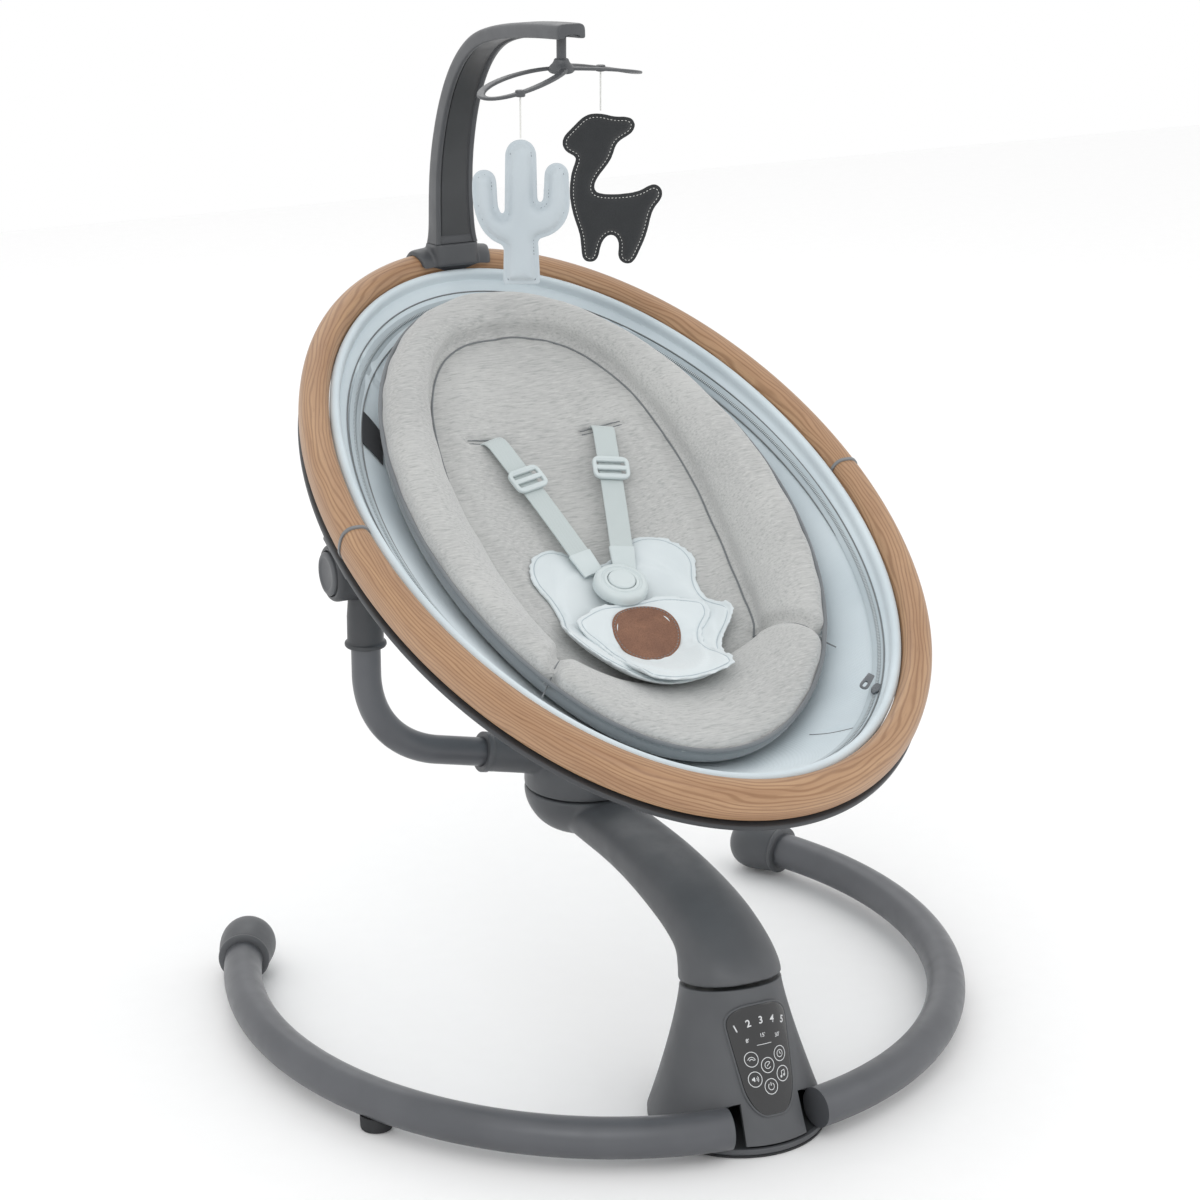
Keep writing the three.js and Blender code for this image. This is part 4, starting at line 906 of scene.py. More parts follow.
def letters(text, size, bold):
    """The outline of a number as flat triangles, centred on its own box."""
    curve = bpy.data.curves.new("number", "FONT")
    curve.body, curve.size, curve.offset = text, size, bold
    obj = bpy.data.objects.new("number", curve)
    bpy.context.scene.collection.objects.link(obj)
    mesh = bpy.data.meshes.new_from_object(obj.evaluated_get(bpy.context.evaluated_depsgraph_get()))
    mesh.calc_loop_triangles()
    points = np.array([v.co[:2] for v in mesh.vertices])
    faces = np.array([t.vertices[:] for t in mesh.loop_triangles])
    bpy.data.objects.remove(obj)
    bpy.data.meshes.remove(mesh)
    return points - (points.min(0) + points.max(0)) / 2, faces


def sign(kind):
    """The strokes of each ringed sign, inside a ring of 6 mm."""
    drawn = [stroke(arc(6, 0, 352.5, count=48), 0.6, True)]
    if kind == "sway":
        drawn += [stroke(arc(3.4, 20, 160, (0, -1.6))), stroke(arc(1.9, 20, 160, (0, -1.8))),
                  stroke(line((2.4, 1.0), (3.4, -0.6), (1.6, -0.8)))]
    elif kind == "clock":
        drawn += [stroke(arc(2.9, 0, 352.5), INK, True), stroke(line((0, 1.8), (0, 0), (1.4, -0.5)))]
    elif kind == "turn":
        drawn += [stroke(arc(2.7, 50, 330)), stroke(line((0.6, 2.9), (2.3, 2.1), (1.4, 0.6))),
                  stroke(line((-0.9, -0.9), (0.9, 0.9)))]
    elif kind == "sound":
        drawn += [stroke(line((-2.8, 0), (-1.6, 0)), 1.8), stroke(line((-1.5, 0), (-0.2, 0)), 3.4),
                  stroke(arc(1.7, -45, 45)), stroke(arc(3.0, -45, 45))]
    elif kind == "music":
        drawn += [stroke(line((-1.2, -2), (-1.2, 2), (2, 2.6), (2, -1.4))), stroke(arc(0.5, 0, 350,
                  (-1.9, -2)), 1.0, True), stroke(arc(0.5, 0, 350, (1.3, -1.4)), 1.0, True)]
    else:
        drawn += [stroke(arc(2.7, 125, 415)), stroke(line((0, 0.6), (0, 3.3)), 0.7)]
    return drawn


def panel_print():
    """Lays every mark at its place: x across, and y down from the panel's top edge."""
    marks = []
    for text, x, y in (("1", -23, 18), ("2", -11.5, 14.6), ("3", 0, 13.4), ("4", 11.5, 14.6), ("5", 23, 18)):
        points, faces = letters(text, 8.6, 0.16)
        turn = math.radians(-x * 0.9)
        spin = np.array([[math.cos(turn), -math.sin(turn)], [math.sin(turn), math.cos(turn)]])
        marks.append((points @ spin.T, faces, x, y))
    for text, x, y in (("8'", -14.5, 28.6), ("15'", 0, 25.8), ("30'", 14.5, 28.6)):
        marks.append((*letters(text, 4.6, 0.06), x, y))
    marks.append((*stroke(line((-7, 0), (7, 0)), 0.5), 0, 33.4))
    spots = (("sway", -13.8, 44), ("clock", 13.8, 44), ("turn", 0, 50.6), ("sound", -13.4, 60),
             ("music", 13.4, 60), ("power", 0, 67.5))
    for kind, x, y in spots:
        marks += [(points, faces, x, y) for points, faces in sign(kind)]
    points, faces, count = [], [], 0
    for flat, index, x, y in marks:
        across, down = flat[:, 0] + x, y - flat[:, 1]
        z = PANEL["high"] - down * (PANEL["high"] - PANEL["low"]) / PANEL["length"]
        points.append(bell_point(across / bell_radius(z), z, PANEL["thick"] + 0.06))
        index = index if index.shape[1] == 4 else np.column_stack([index, index[:, -1]])
        faces.append(index + count)
        count += len(flat)
    faces = np.vstack(faces)
    triangles = faces[:, 2] == faces[:, 3]
    obj = mesh_object("panel_print", world(np.vstack(points)), [faces[~triangles], faces[triangles, :3]])
    thick = obj.modifiers.new("ink", "SOLIDIFY")
    thick.thickness = 0.08 * MM
    thick.offset = 0
    return obj


ink = finish(panel_print(), "base", "touch_panel", panel_white, sharp=None)
print("panel print has", len(ink.data.polygons), "faces")

# %% [markdown]
# ## The swing arm
# One large moulding rises from the housing, bends back and ends in the bowl that carries the turntable. Its
# section is a rounded oval that shrinks and turns through nine stations; a smooth curve through the
# stations fills in the rest. The bowl is turned, and a voxel remesh melts the two into one skin.

# %% Arm and bowl
HUB = {"y": 52, "seam_z": 211, "bowl_z": 165, "radius": 57.5, "axis_z": 237}
ARM_GAP = 3
tilt = math.radians(SWING["tilt"])
arm_start = np.array([SWING["y"] + ARM_GAP * math.sin(tilt), SWING["z"] + ARM_GAP * math.cos(tilt)])
ARM_STATIONS = np.array([
    # y, z, bend of the section in degrees, width, height
    [*arm_start, 13, 90, 90],
    [arm_start[0] + 3.5, arm_start[1] + 12, 11, 88, 86],
    [-230, 158, 14, 84, 76],
    [-200, 171, 38, 79, 64],
    [-160, 180, 60, 75, 55],
    [-110, 187, 72, 72, 49],
    [-60, 190, 80, 70, 45],
    [-10, 190, 86, 70, 42],
    [30, 189, 90, 68, 40],
])


def swing_arm():
    stations = spline(ARM_STATIONS, 120)
    rim = np.array([[0.0, 0.0, 1.0], [0.9, 0.25, 1.0], [2.0, 1.4, 1.0]])
    bend = np.radians(stations[:, 2])
    up = np.stack([0 * bend, -np.cos(bend), np.sin(bend)], 1)
    unit = oval(1, 1, 2.3, 96)
    first = stations[:1].repeat(3, 0)
    first[:, 3:5] -= 2 * (2.0 - rim[:, :1])
    sizes = np.vstack([first[:, 3:5], stations[3:, 3:5]])
    centres = np.vstack([stations[:1, :2].repeat(3, 0), stations[3:, :2]])
    centres[:3, 0] += rim[:, 1] * math.sin(tilt)
    centres[:3, 1] += rim[:, 1] * math.cos(tilt)
    up = np.vstack([up[:1].repeat(3, 0), up[3:]])
    grid = np.zeros((len(sizes), 96, 3))
    grid[..., 0] = unit[None, :, 0] * sizes[:, :1]
    grid[..., 1:] = centres[:, None] + (unit[None, :, 1] * sizes[:, 1:2])[..., None] * up[:, None, 1:]
    loft = grid_object("arm_loft", world(grid))
    depth, r = HUB["seam_z"] - HUB["bowl_z"], HUB["radius"]
    profile = rounded([[0.01, 0], [24, 0.5], [44, 11], [55, 28], [r, depth - 6], [r, depth], [0.01, depth]],
                      [0, 12, 14, 12, 3, 0.8, 0])
    bowl = grid_object("arm_bowl", world(moved(turned(profile, 96), (0, HUB["y"], HUB["bowl_z"]))))
    arm = melted("arm_moulding", [loft, bowl], 0.0017, 10)
    return finish(arm, "arm", "graphite_plastic", graphite, "swing_arm", sharp=None)


arm = swing_arm()
print("arm moulding has", len(arm.data.polygons), "faces")

# %% [markdown]
# ## The turntable and its yoke
# A low drum turns on the bowl. Two sockets leave it, rising outwards, and grip the yoke's tubes. As on the
# arm, drum and sockets are melted into one moulding, then the bores are cut for the tubes.

# %% Hub
YOKE = {"radius": 13.7, "button_x": 84, "x": 223, "slope": 0.2236, "bend": 90, "collar_z": 390,
        "socket_end": 106}


def yoke_line_z(x):
    return HUB["axis_z"] + YOKE["slope"] * abs(x)


def on_hub(points):
    """The turntable's drawing is centred on its own axis."""
    return world(moved(points, (0, HUB["y"], 0)))


def socket_rod(side, x0, x1, radii, sides=64):
    """A round bar along the socket's line, with a radius at each of its evenly spaced stations."""
    x = np.linspace(x0, x1, len(radii))
    path = np.stack([side * x, 0 * x, HUB["axis_z"] + YOKE["slope"] * x], 1)
    ring = oval(2, 2, 2, sides)[None] * np.asarray(radii, dtype=float)[:, None, None]
    return grid_object("socket_rod", on_hub(swept(path, ring, UP)))


def turntable_hub():
    z, r = HUB["seam_z"], HUB["radius"]
    profile = rounded([[0.01, z + 1.2], [r - 1, z + 1.2], [r, z + 2.2], [r, z + 14], [r - 2, z + 26],
                       [r - 8, z + 37], [r - 20, z + 44], [0.01, z + 47]], [0, 0.8, 0.8, 5, 6, 8, 10, 0])
    parts = [grid_object("drum", on_hub(turned(profile, 96)))]
    parts += [socket_rod(side, 10, YOKE["socket_end"] - 1, [19] * 30 + [18.4] * 30) for side, _ in SIDES]
    hub = melted("hub_moulding", parts, 0.0015, 8)
    bores = [socket_rod(side, 62, YOKE["socket_end"] + 5, [YOKE["radius"] + 0.5] * 4) for side, _ in SIDES]
    cut_out(hub, *bores)
    return finish(hub, "turntable", "graphite_plastic", graphite, "turntable_hub", sharp=48)


hub = turntable_hub()
print("hub moulding has", len(hub.data.polygons), "faces")

# %% [markdown]
# Each socket carries a clamp ring at its mouth and a dark spring button that locks the tube.

# %% Tubes, rings and buttons
def yoke_path(side, count=150):
    """Out along the socket's line, round a soft corner (a cubic curve) and up to the pivot."""
    reach = YOKE["bend"] * math.tan(math.radians(38.7))
    run = math.hypot(1, YOKE["slope"])
    corner = np.array([side * YOKE["x"], 0, yoke_line_z(YOKE["x"])])
    bend_x = YOKE["x"] - reach / run
    start, bend_in = [np.array([side * x, 0, yoke_line_z(x)]) for x in (64, bend_x)]
    bend_out = corner + [0, 0, reach]
    k = 0.62
    curve = bezier([bend_in, bend_in + (corner - bend_in) * k, bend_out + (corner - bend_out) * k, bend_out],
                   count)
    first = start + (bend_in - start) * np.linspace(0, 1, 30)[:-1, None]
    last = bend_out + (np.array([side * YOKE["x"], 0, 430]) - bend_out) * np.linspace(0, 1, 30)[1:, None]
    return np.vstack([first, curve, last])


def spring_button(side, word):
    z = yoke_line_z(YOKE["button_x"]) + YOKE["radius"] - 3
    profile = rounded([[0.01, z], [4.5, z], [4.5, z + 8.6], [2.4, z + 9.6], [0.01, z + 9.6]], 1.0)
    button = turned(profile, 40)
    button[..., 0] *= 0.98
    obj = grid_object(f"spring_button_{word}", on_hub(moved(button, (side * YOKE["button_x"], 0, 0))))
    return finish(obj, f"clip_button_{word}", "steel", dark_plastic, f"yoke_spring_button_{word}")


def button_well(side, word):
    """A moulded collar round the button: a low ring on the socket."""
    z = yoke_line_z(YOKE["button_x"]) + 18.2
    profile = rounded([[5.0, z - 3], [5.0, z + 0.6], [8.6, z + 0.8], [10.2, z - 3]], 0.7)
    ring = turned(np.vstack([profile, [[5.0, z - 3]]]), 48)
    ring[..., 2] += side * YOKE["slope"] * ring[..., 0]
    obj = grid_object(f"button_ring_{word}", on_hub(moved(ring, (side * YOKE["button_x"], 0, 0))),
                      (False, True), False)
    return finish(obj, "turntable", "graphite_plastic", graphite)


for side, word in SIDES:
    path = yoke_path(side)
    tube = grid_object(f"yoke_bent_tube_{word}", on_hub(swept(path, oval(27.4, 27.4, 2, 56), (0, 1, 0))))
    finish(tube, "turntable", "painted_tube", tube_paint, f"yoke_tube_{word}")
    mouth = [YOKE["radius"] + 0.6, 18.9, 19.4, 19.4, 18.9, YOKE["radius"] + 0.6]
    x = YOKE["socket_end"] + np.array([-4.0, -4.0, -3.4, 1.4, 2.0, 2.0])
    line_path = np.stack([side * x, 0 * x, HUB["axis_z"] + YOKE["slope"] * x], 1)
    slope_dir = np.array([side, 0, YOKE["slope"]]) / math.hypot(1, YOKE["slope"])
    across = np.cross(slope_dir, UP)
    across /= np.linalg.norm(across)
    top = np.cross(across, slope_dir)
    unit = oval(2, 2, 2, 64)
    radii = np.array(mouth)[:, None, None]
    grid = line_path[:, None] + radii * (unit[:, :1] * across + unit[:, 1:] * top)
    clamp = grid_object(f"socket_ring_{word}", on_hub(grid), (True, True))
    finish(clamp, "turntable", "graphite_plastic", graphite)
    spring_button(side, word)
    button_well(side, word)
print("yoke tubes", round(2 * YOKE["radius"], 1), "mm across")

# %% [markdown]
# ## The pivots
# A dark sleeve with a collar caps each tube and holds a round housing. Outside, a button sits in a recess
# of the housing; pressing both buttons lets the seat recline. All are turned pieces with rounded edges.

# %% Sleeves, pivot housings and recline buttons
PIVOT = {"y": 51.7, "z": 460.3, "radius": 26.5, "knob": 20.2, "outer_x": 257, "inner_x": 213}


def sleeve(side, word):
    """A turned cap on the tube; its head is lowered where it would enter the housing's cylinder."""
    r, z = YOKE["radius"] + 0.4, YOKE["collar_z"]
    profile = rounded([[r, z - 4], [18.6, z - 4], [19.6, z - 2.4], [19.2, z], [16.9, z + 1.2], [16.7, 420],
                       [17.6, 446], [r, 446]], [0, 0.8, 1.2, 0.8, 1.5, 8, 0.8, 0], 6)
    columns = np.vstack([profile[:-12], np.column_stack([np.linspace(*profile[[-12, -1], 0], 24),
                                                         np.linspace(*profile[[-12, -1], 1], 24)])])
    grid = turned(columns, 72)
    off = np.abs(grid[..., 1] - (PIVOT["y"] - HUB["y"]))
    roof = PIVOT["z"] - np.sqrt(np.maximum((PIVOT["radius"] + 0.3) ** 2 - off**2, 0))
    grid[..., 2] = np.minimum(grid[..., 2], roof)
    obj = grid_object(f"tube_sleeve_{word}", on_hub(moved(grid, (side * YOKE["x"], 0, 0))), (True, True))
    return finish(obj, "turntable", "dark_plastic", dark_plastic, f"yoke_sleeve_{word}")


def pivot_turned(name, profile, side, x, segments=96):
    grid = turned(profile, segments) @ turn_about("Y", side * 90).T
    return grid_object(name, on_hub(moved(grid, (side * x, PIVOT["y"] - HUB["y"], PIVOT["z"]))))


def pivot_housing(side, word):
    deep, r, knob = PIVOT["outer_x"] - PIVOT["inner_x"], PIVOT["radius"], PIVOT["knob"]
    profile = rounded([[0.01, 22], [10, 22], [10, 0], [r - 1.5, 0], [r, 1.5], [r, deep - 12],
                       [r + 0.0, deep - 3], [r - 2.5, deep], [knob + 1, deep], [knob + 0.6, deep - 10],
                       [0.01, deep - 10]], [0, 0.3, 0.5, 1, 1, 2, 2.5, 1.6, 0.6, 0.3, 0])
    obj = pivot_turned(f"pivot_drum_{word}", profile, side, PIVOT["inner_x"])
    return finish(obj, "turntable", "dark_plastic", dark_plastic, f"pivot_housing_{word}", sharp=35)


def recline_button(side, word):
    r = PIVOT["knob"]
    profile = rounded([[0.01, 0], [r - 1, 0], [r, 1], [r, 6.5], [r - 1.8, 8], [r - 5, 8], [r - 6.4, 6.9],
                       [8, 6.3], [0.01, 6.1]], [0, 0.6, 0.8, 1, 1.6, 1.2, 2, 3, 0])
    obj = pivot_turned(f"recline_press_{word}", profile, side, PIVOT["outer_x"] - 4.5)
    return finish(obj, f"knob_{word}", "graphite_plastic", graphite, f"recline_button_{word}", sharp=50)


for side, word in SIDES:
    sleeve(side, word)
    pivot_housing(side, word)
    recline_button(side, word)
print("pivots at", np.round(on_hub([PIVOT["outer_x"], PIVOT["y"] - HUB["y"], PIVOT["z"]]), 4))

# %% [markdown]
# ## The wooden rim
# Two halves of bent wood make the oval rim; thin plates divide them at the sides. A softened rectangle is
# carried along x = a sin t, y = b cos t. The section starts at its underside, so its map's seam is hidden.

# %% Rim
def rim_path(first, last, count, lift=0.0):
    t = np.radians(np.linspace(first, last, count))
    return np.stack([SEAT["half_x"] * np.sin(t), SEAT["half_y"] * np.cos(t), np.full(count, float(lift))], 1)


def from_below(section):
    """Starts the section at its lowest point."""
    return np.roll(section, -3 * len(section) // 4, axis=0)


PLATE = 3
PLATE_TURN = 90 - math.degrees((PLATE / 2 + 0.3) / SEAT["half_y"])
wood_section = from_below(oval(SEAT["wood_wide"], SEAT["wood_high"], 2.6, 64))
for word, first, node in (("head", -PLATE_TURN, "rim_head"), ("foot", 180 - PLATE_TURN, "rim_foot")):
    path = rim_path(first, first + 2 * PLATE_TURN, 260)
    ends = np.ones(260)
    ends[[0, -1]] = 0.965
    grid = swept(path, wood_section[None] * ends[:, None, None], UP)
    rim = grid_object(f"wood_rim_{word}", from_seat(grid))
    finish(rim, "seat", "wood_rim", wood, node, sharp=60)
for side, word in SIDES:
    y = np.array([-PLATE / 2, -1.2, 1.2, PLATE / 2])
    path = np.stack([np.full(4, side * SEAT["half_x"]), y, np.zeros(4)], 1)
    plate = oval(SEAT["wood_wide"] + 2, SEAT["wood_high"] + 2, 2.6, 64)
    grid = swept(path, plate[None] * np.array([0.98, 1, 1, 0.98])[:, None, None], UP)
    divider = grid_object(f"divider_{word}", from_seat(grid))
    finish(divider, "seat", "dark_plastic", divider_plastic, f"rim_divider_{word}")
ring_path = rim_path(0, 360, 301, -22.5)[:-1]
under_ring = grid_object("under_rim_ring", from_seat(swept(ring_path, oval(24.5, 6, 5, 32), UP, True)),
                         (True, True))
finish(under_ring, "seat", "graphite_plastic", dark_plastic, "rim_frame")
print("rim is", 2 * SEAT["half_x"] + SEAT["wood_wide"], "by", 2 * SEAT["half_y"] + SEAT["wood_wide"], "mm")

# %% [markdown]
# Brackets and the power socket keep their plain outlines; a copy of each is merged and its edges bevelled.

# %% Softened copies
def softened(name, node, body, slot, material, width):
    """A copy of a plain part, its points merged and its sharp edges rounded by a bevel."""
    obj = bpy.data.objects.new(name, frame["nodes"][node].data.copy())
    bpy.context.scene.collection.objects.link(obj)
    weld = obj.modifiers.new("weld", "WELD")
    weld.merge_threshold = 0.00002
    bevel = obj.modifiers.new("soft_edges", "BEVEL")
    bevel.width = width * MM
    bevel.segments = 3
    bevel.limit_method = "ANGLE"
    bevel.angle_limit = math.radians(35)
    apply_modifiers(obj)
    return finish(obj, body, slot, material, node, sharp=40)


for side, word in SIDES:
    softened(f"pivot_plate_{word}", f"pivot_bracket_{word}", "seat", "graphite_plastic", graphite, 0.8)
softened("power_socket", "power_inlet", "base", "dark_plastic", dark_plastic, 0.4)
print("brackets softened")

# %% [markdown]
# ## The fabric basin
# A cloth shell hangs in the rim: at a share s of the way out, x = 232 s sin a, y = 373 s cos a - 110(1 - s^2)
# and the depth is 132 (1 - s^1.3). It is stretched, so it shows only slow waves and two darts. The cloth is
# a closed shell with a rolled lip that meets the wood.

# %% Basin
LINER = {"half_x": 232, "half_y": 373, "depth": 138, "power": 1.3, "sink": 110, "lip": 10, "wall": 6}
DARTS = ((-40.5, 0.97, 0.74), (151.5, 0.97, 0.72), (-127, 0.97, 0.8), (38, 0.97, 0.82))


def liner_point(s, angle, out, h):
    x = (LINER["half_x"] * s + out) * np.sin(angle)
    y = (LINER["half_y"] * s + out) * np.cos(angle) - LINER["sink"] * (1 - s**2)
    return np.stack([x, y, h + 0 * x], -1)


def basin_waves(s, angle):
    """Slow waves and darts: a sum of sines that dies out at the zip and at the middle."""
    ripple = 1.1 * np.sin(9 * angle + 5 * s) + 0.8 * np.sin(17 * angle - 7 * s + 1) + 0.5 * np.sin(31 * angle)
    out = ripple * s**2 * np.clip((0.95 - s) / 0.3, 0, 1) ** 0.7
    for turn, _, s_in in DARTS:
        off = (np.degrees(angle) - turn + 180) % 360 - 180
        reach = np.clip((s - s_in) / 0.08, 0, 1) * (s < 0.975)
        out = out - 3.2 * np.exp(-((off / 1.1) ** 2)) * reach + 1.8 * np.exp(-((off / 4) ** 2)) * reach
    return out


def make_basin():
    angle = np.linspace(0, 2 * np.pi, 480, endpoint=False)[None]
    s = np.concatenate([np.linspace(0.02, 0.9, 60), np.linspace(0.91, 0.998, 14)])[:, None]
    deep = LINER["depth"] - LINER["wall"]
    h = -deep * (1 - s ** LINER["power"])
    inner = liner_point(s, angle, -4 * np.minimum(1, s / 0.1), h + basin_waves(s, angle))
    lip = [(-4.2, 3), (-4.0, 6.5), (-2.6, 9), (0, 10), (2.6, 9.6), (4.6, 8), (5.6, 5), (5.2, 1), (3, -3)]
    edge = np.stack([liner_point(np.ones((1, 1)), angle, out, h1)[0] for out, h1 in lip])
    outer = liner_point(s[::-3], angle, 0 * angle, -LINER["depth"] * (1 - s[::-3] ** LINER["power"]))
    outer[..., 2] += 2.2
    basin = grid_object("fabric_basin", from_seat(np.vstack([inner, edge, outer])))
    return finish(basin, "seat", "liner_fabric", basin_cloth, "seat_liner", sharp=None)


def surface_area(obj):
    area = np.empty(len(obj.data.polygons), dtype=np.float32)
    obj.data.polygons.foreach_get("area", area)
    return float(area.sum())


basin = make_basin()
one_side = surface_area(basin) / 2
print("basin's cloth measures", round(one_side, 3), "m2 on one side")

# %% [markdown]
# A zip runs all round, just below the lip. Its tape is a thin band with a ridge of teeth, sewn down along
# two dark lines. Each is a closed section carried round the same oval, a little above the cloth.

# %% Zip, piping and label
ZIP = {"x": 126, "y": -284, "s": 0.952}


def liner_line(s, above, count=420, first=0.0, last=360.0, closed=True):
    """A line round the basin at one share s, above its inner face."""
    t = np.radians(np.linspace(first, last, count + 1 if closed else count))
    t = t[:-1] if closed else t
    h = -(LINER["depth"] - LINER["wall"]) * (1 - s ** LINER["power"]) + above
    return liner_point(np.full(len(t), float(s)), t, -4, h)


inward = np.column_stack([-np.sin(np.linspace(0, 2 * np.pi, 420, endpoint=False)),
                          -np.cos(np.linspace(0, 2 * np.pi, 420, endpoint=False)), np.full(420, 1.4)])
inward /= np.linalg.norm(inward, axis=1)[:, None]
band = swept(liner_line(ZIP["s"], 1.0), oval(13, 1.4, 4, 20), inward, True)
tape = grid_object("zip_tape", from_seat(band), (True, True))
finish(tape, "seat", "liner_fabric", tape_cloth)
ridge = swept(liner_line(ZIP["s"], 1.9), oval(3.2, 1.8, 2.5, 14), inward, True)
teeth = grid_object("zip_teeth", from_seat(ridge), (True, True))


def zip_teeth_look():
    """Teeth as even bars across the ridge, drawn on its own map."""
    material, tree, shader = start("zip_teeth", Roughness=0.45)
    at = surface_place(tree)
    bars = waves(tree, stretched(tree, at, (1, 1, 1), (0, 0, math.radians(90))), 480, 0.0, 0)
    colour = mixed(tree, steps(tree, bars, 0.2, 0.8), srgb(120, 130, 135), srgb(196, 205, 209))
    wire(tree, shader, Base_Color=colour, Normal=bumped(tree, bars, 0.0006))
    return material


finish(teeth, "seat", "liner_fabric", zip_teeth_look())
for name, s, above in (("zip_stitch_outer", 0.974, 1.0), ("zip_stitch_inner", 0.93, 1.3)):
    cord = grid_object(name, from_seat(swept(liner_line(s, above), oval(1.5, 1.3, 2, 10), inward, True)),
                       (True, True))
    finish(cord, "seat", "liner_fabric", seam_thread)


def dart_seam(number, turn, s_out, s_in):
    s = np.linspace(s_in, s_out, 40)
    t = np.full(40, math.radians(turn))
    h = -(LINER["depth"] - LINER["wall"]) * (1 - s ** LINER["power"])
    path = liner_point(s, t, -4, h + basin_waves(s, t) + 0.35)
    seam = grid_object(f"dart_seam_{number}", from_seat(swept(path, oval(0.9, 0.7, 2, 8), UP)))
    return finish(seam, "seat", "liner_fabric", seam_thread)


for number, dart in enumerate(DARTS):
    dart_seam(number, *dart)


def side_label():
    """A folded woven label sewn into the zip's inner seam; it has nothing printed on it."""
    rows, columns = 24, 10
    turn = np.radians(np.linspace(-52.5, -61.5, rows))[:, None]
    out = np.linspace(0, 15, columns)[None]
    s = 0.93 - out / LINER["half_x"] + 0 * turn
    h = -(LINER["depth"] - LINER["wall"]) * (1 - s ** LINER["power"]) + 2.4 + 1.2 * np.sin(out / 15 * np.pi)
    top = liner_point(s, turn + 0 * out, -4, h)
    under = top - [0, 0, 1.1]
    label = closed_sheet("side_label", from_seat(top), from_seat(under))
    return finish(label, "seat", "dark_plastic", label_cloth)


side_label()


def zip_slider():
    """The slider's body on the tape, and the puller that hangs from it."""
    angle = math.degrees(math.asin(139 / (LINER["half_x"] * ZIP["s"])))
    t = np.radians(180 - angle)
    spot = liner_point(np.array([ZIP["s"]]), np.array([t]), -4, -8.2 + 2.0)[0]
    profile = rounded([[0.01, 0], [4.6, 0], [5.2, 1.5], [4.4, 3.6], [0.01, 4.0]], 0.8)
    body = turned(profile, 32) * [0.8, 1.5, 1]
    slider = grid_object("zip_slider", from_seat(moved(body, spot, turn_about("Z", -50))))
    finish(slider, "seat", "steel", gunmetal)
    return spot


gunmetal = moulded("gunmetal", srgb(118, 122, 126), srgb(100, 104, 108), 0.3, 1200, 0.00001, Metallic=0.7)
zip_slider()
half = [[-3.1, 0.6], [-4.1, -15], [-4.1, -18.5], [-2.6, -21.4], [0, -22.2]]
outline = rounded(half + [[-x, y] for x, y in half[-2::-1]] + [half[0]], 1.4)[:-1]


def zip_puller():
    """A flat tab with rounded edges and a slot, at the plain part's place."""
    levels = np.array([0, 0.3, 1.3, 1.6])
    scale = np.array([0.9, 1, 1, 0.9])
    centre = outline.mean(0)
    grid = np.zeros((4, len(outline), 3))
    grid[..., :2] = centre + (outline - centre)[None] * scale[:, None, None]
    grid[..., 2] = levels[:, None]
    turn = turn_about("Z", -50)
    pull = grid_object("zip_puller", from_seat(moved(grid, (ZIP["x"], ZIP["y"], LINER["lip"] + 4), turn)))
    slot_ring = oval(3.2, 9, 3, 24)
    hole = np.concatenate([np.broadcast_to(slot_ring, (2, 24, 2)), np.array([-2, 4])[:, None, None]
                           * np.ones((1, 24, 1))], 2)
    hole = moved(hole, (0, -15.5, 0))
    cut_out(pull, grid_object("slot", from_seat(moved(hole, (ZIP["x"], ZIP["y"], LINER["lip"] + 4), turn))))
    return finish(pull, "zip_tab", "steel", gunmetal, "zip_pull", sharp=40)


zip_puller()
print("zip round the basin at a share of", ZIP["s"])

# %% [markdown]
# ## The newborn insert
# A stuffed cushion lies in the basin: a flat inner panel inside a puffed bolster, with a band round its
# side. Its drawn shape is a height over the basin's floor. To look stuffed, a voxel remesh makes an even
# skin, and a cloth solve with air pressure and no gravity swells it while its seams are held.

# %% Shape of the insert
INSERT = {"half_x": 186, "half_y": 305, "centre": 16, "clearance": 6, "panel": 30, "bolster": 50}
MIDDLE = np.array([0.0, 40.0])
half_panel = [[0, 266], [60, 248], [101, 185], [119, 95], [119, 0], [109, -90], [101, -132], [92, -146],
              [60, -151], [0, -152]]
panel_loop = np.array(half_panel + [[-x, y] for x, y in half_panel[-2:0:-1]], dtype=float)


def closed_spline(points, count):
    """A smooth closed curve through the points."""
    points = np.asarray(points, dtype=float)
    n = len(points)
    around = np.vstack([points[-3:], points, points[:3]])
    curve = spline(around, (n + 5) * 40 + 1)
    return curve[3 * 40:(3 + n) * 40][:: max(1, n * 40 // count)]


def distance_out(loop, angle, centre=MIDDLE):
    """How far from the centre a loop lies, in each direction."""
    d = loop - centre
    a = np.arctan2(d[:, 0], d[:, 1])
    order = np.argsort(a)
    return np.interp(angle, a[order], np.linalg.norm(d, axis=1)[order], period=2 * np.pi)


def ellipse_out(angle):
    """How far from the middle the insert's outer oval lies: the root of a quadratic."""
    dx, dy = np.sin(angle), np.cos(angle)
    oy = MIDDLE[1] - INSERT["centre"]
    a = (dx / INSERT["half_x"]) ** 2 + (dy / INSERT["half_y"]) ** 2
    b = 2 * dy * oy / INSERT["half_y"] ** 2
    c = (oy / INSERT["half_y"]) ** 2 - 1
    return (-b + np.sqrt(b * b - 4 * a * c)) / (2 * a)


def liner_share(x, y):
    """The share s that a point of the basin lies at: halving an interval 30 times."""
    low, high = np.zeros(np.shape(x)), np.full(np.shape(x), 1.2)
    for _ in range(30):
        s = (low + high) / 2
        f = (x / LINER["half_x"]) ** 2 + ((y + LINER["sink"] * (1 - s**2)) / LINER["half_y"]) ** 2 - s**2
        low, high = np.where(f > 0, s, low), np.where(f > 0, high, s)
    return s


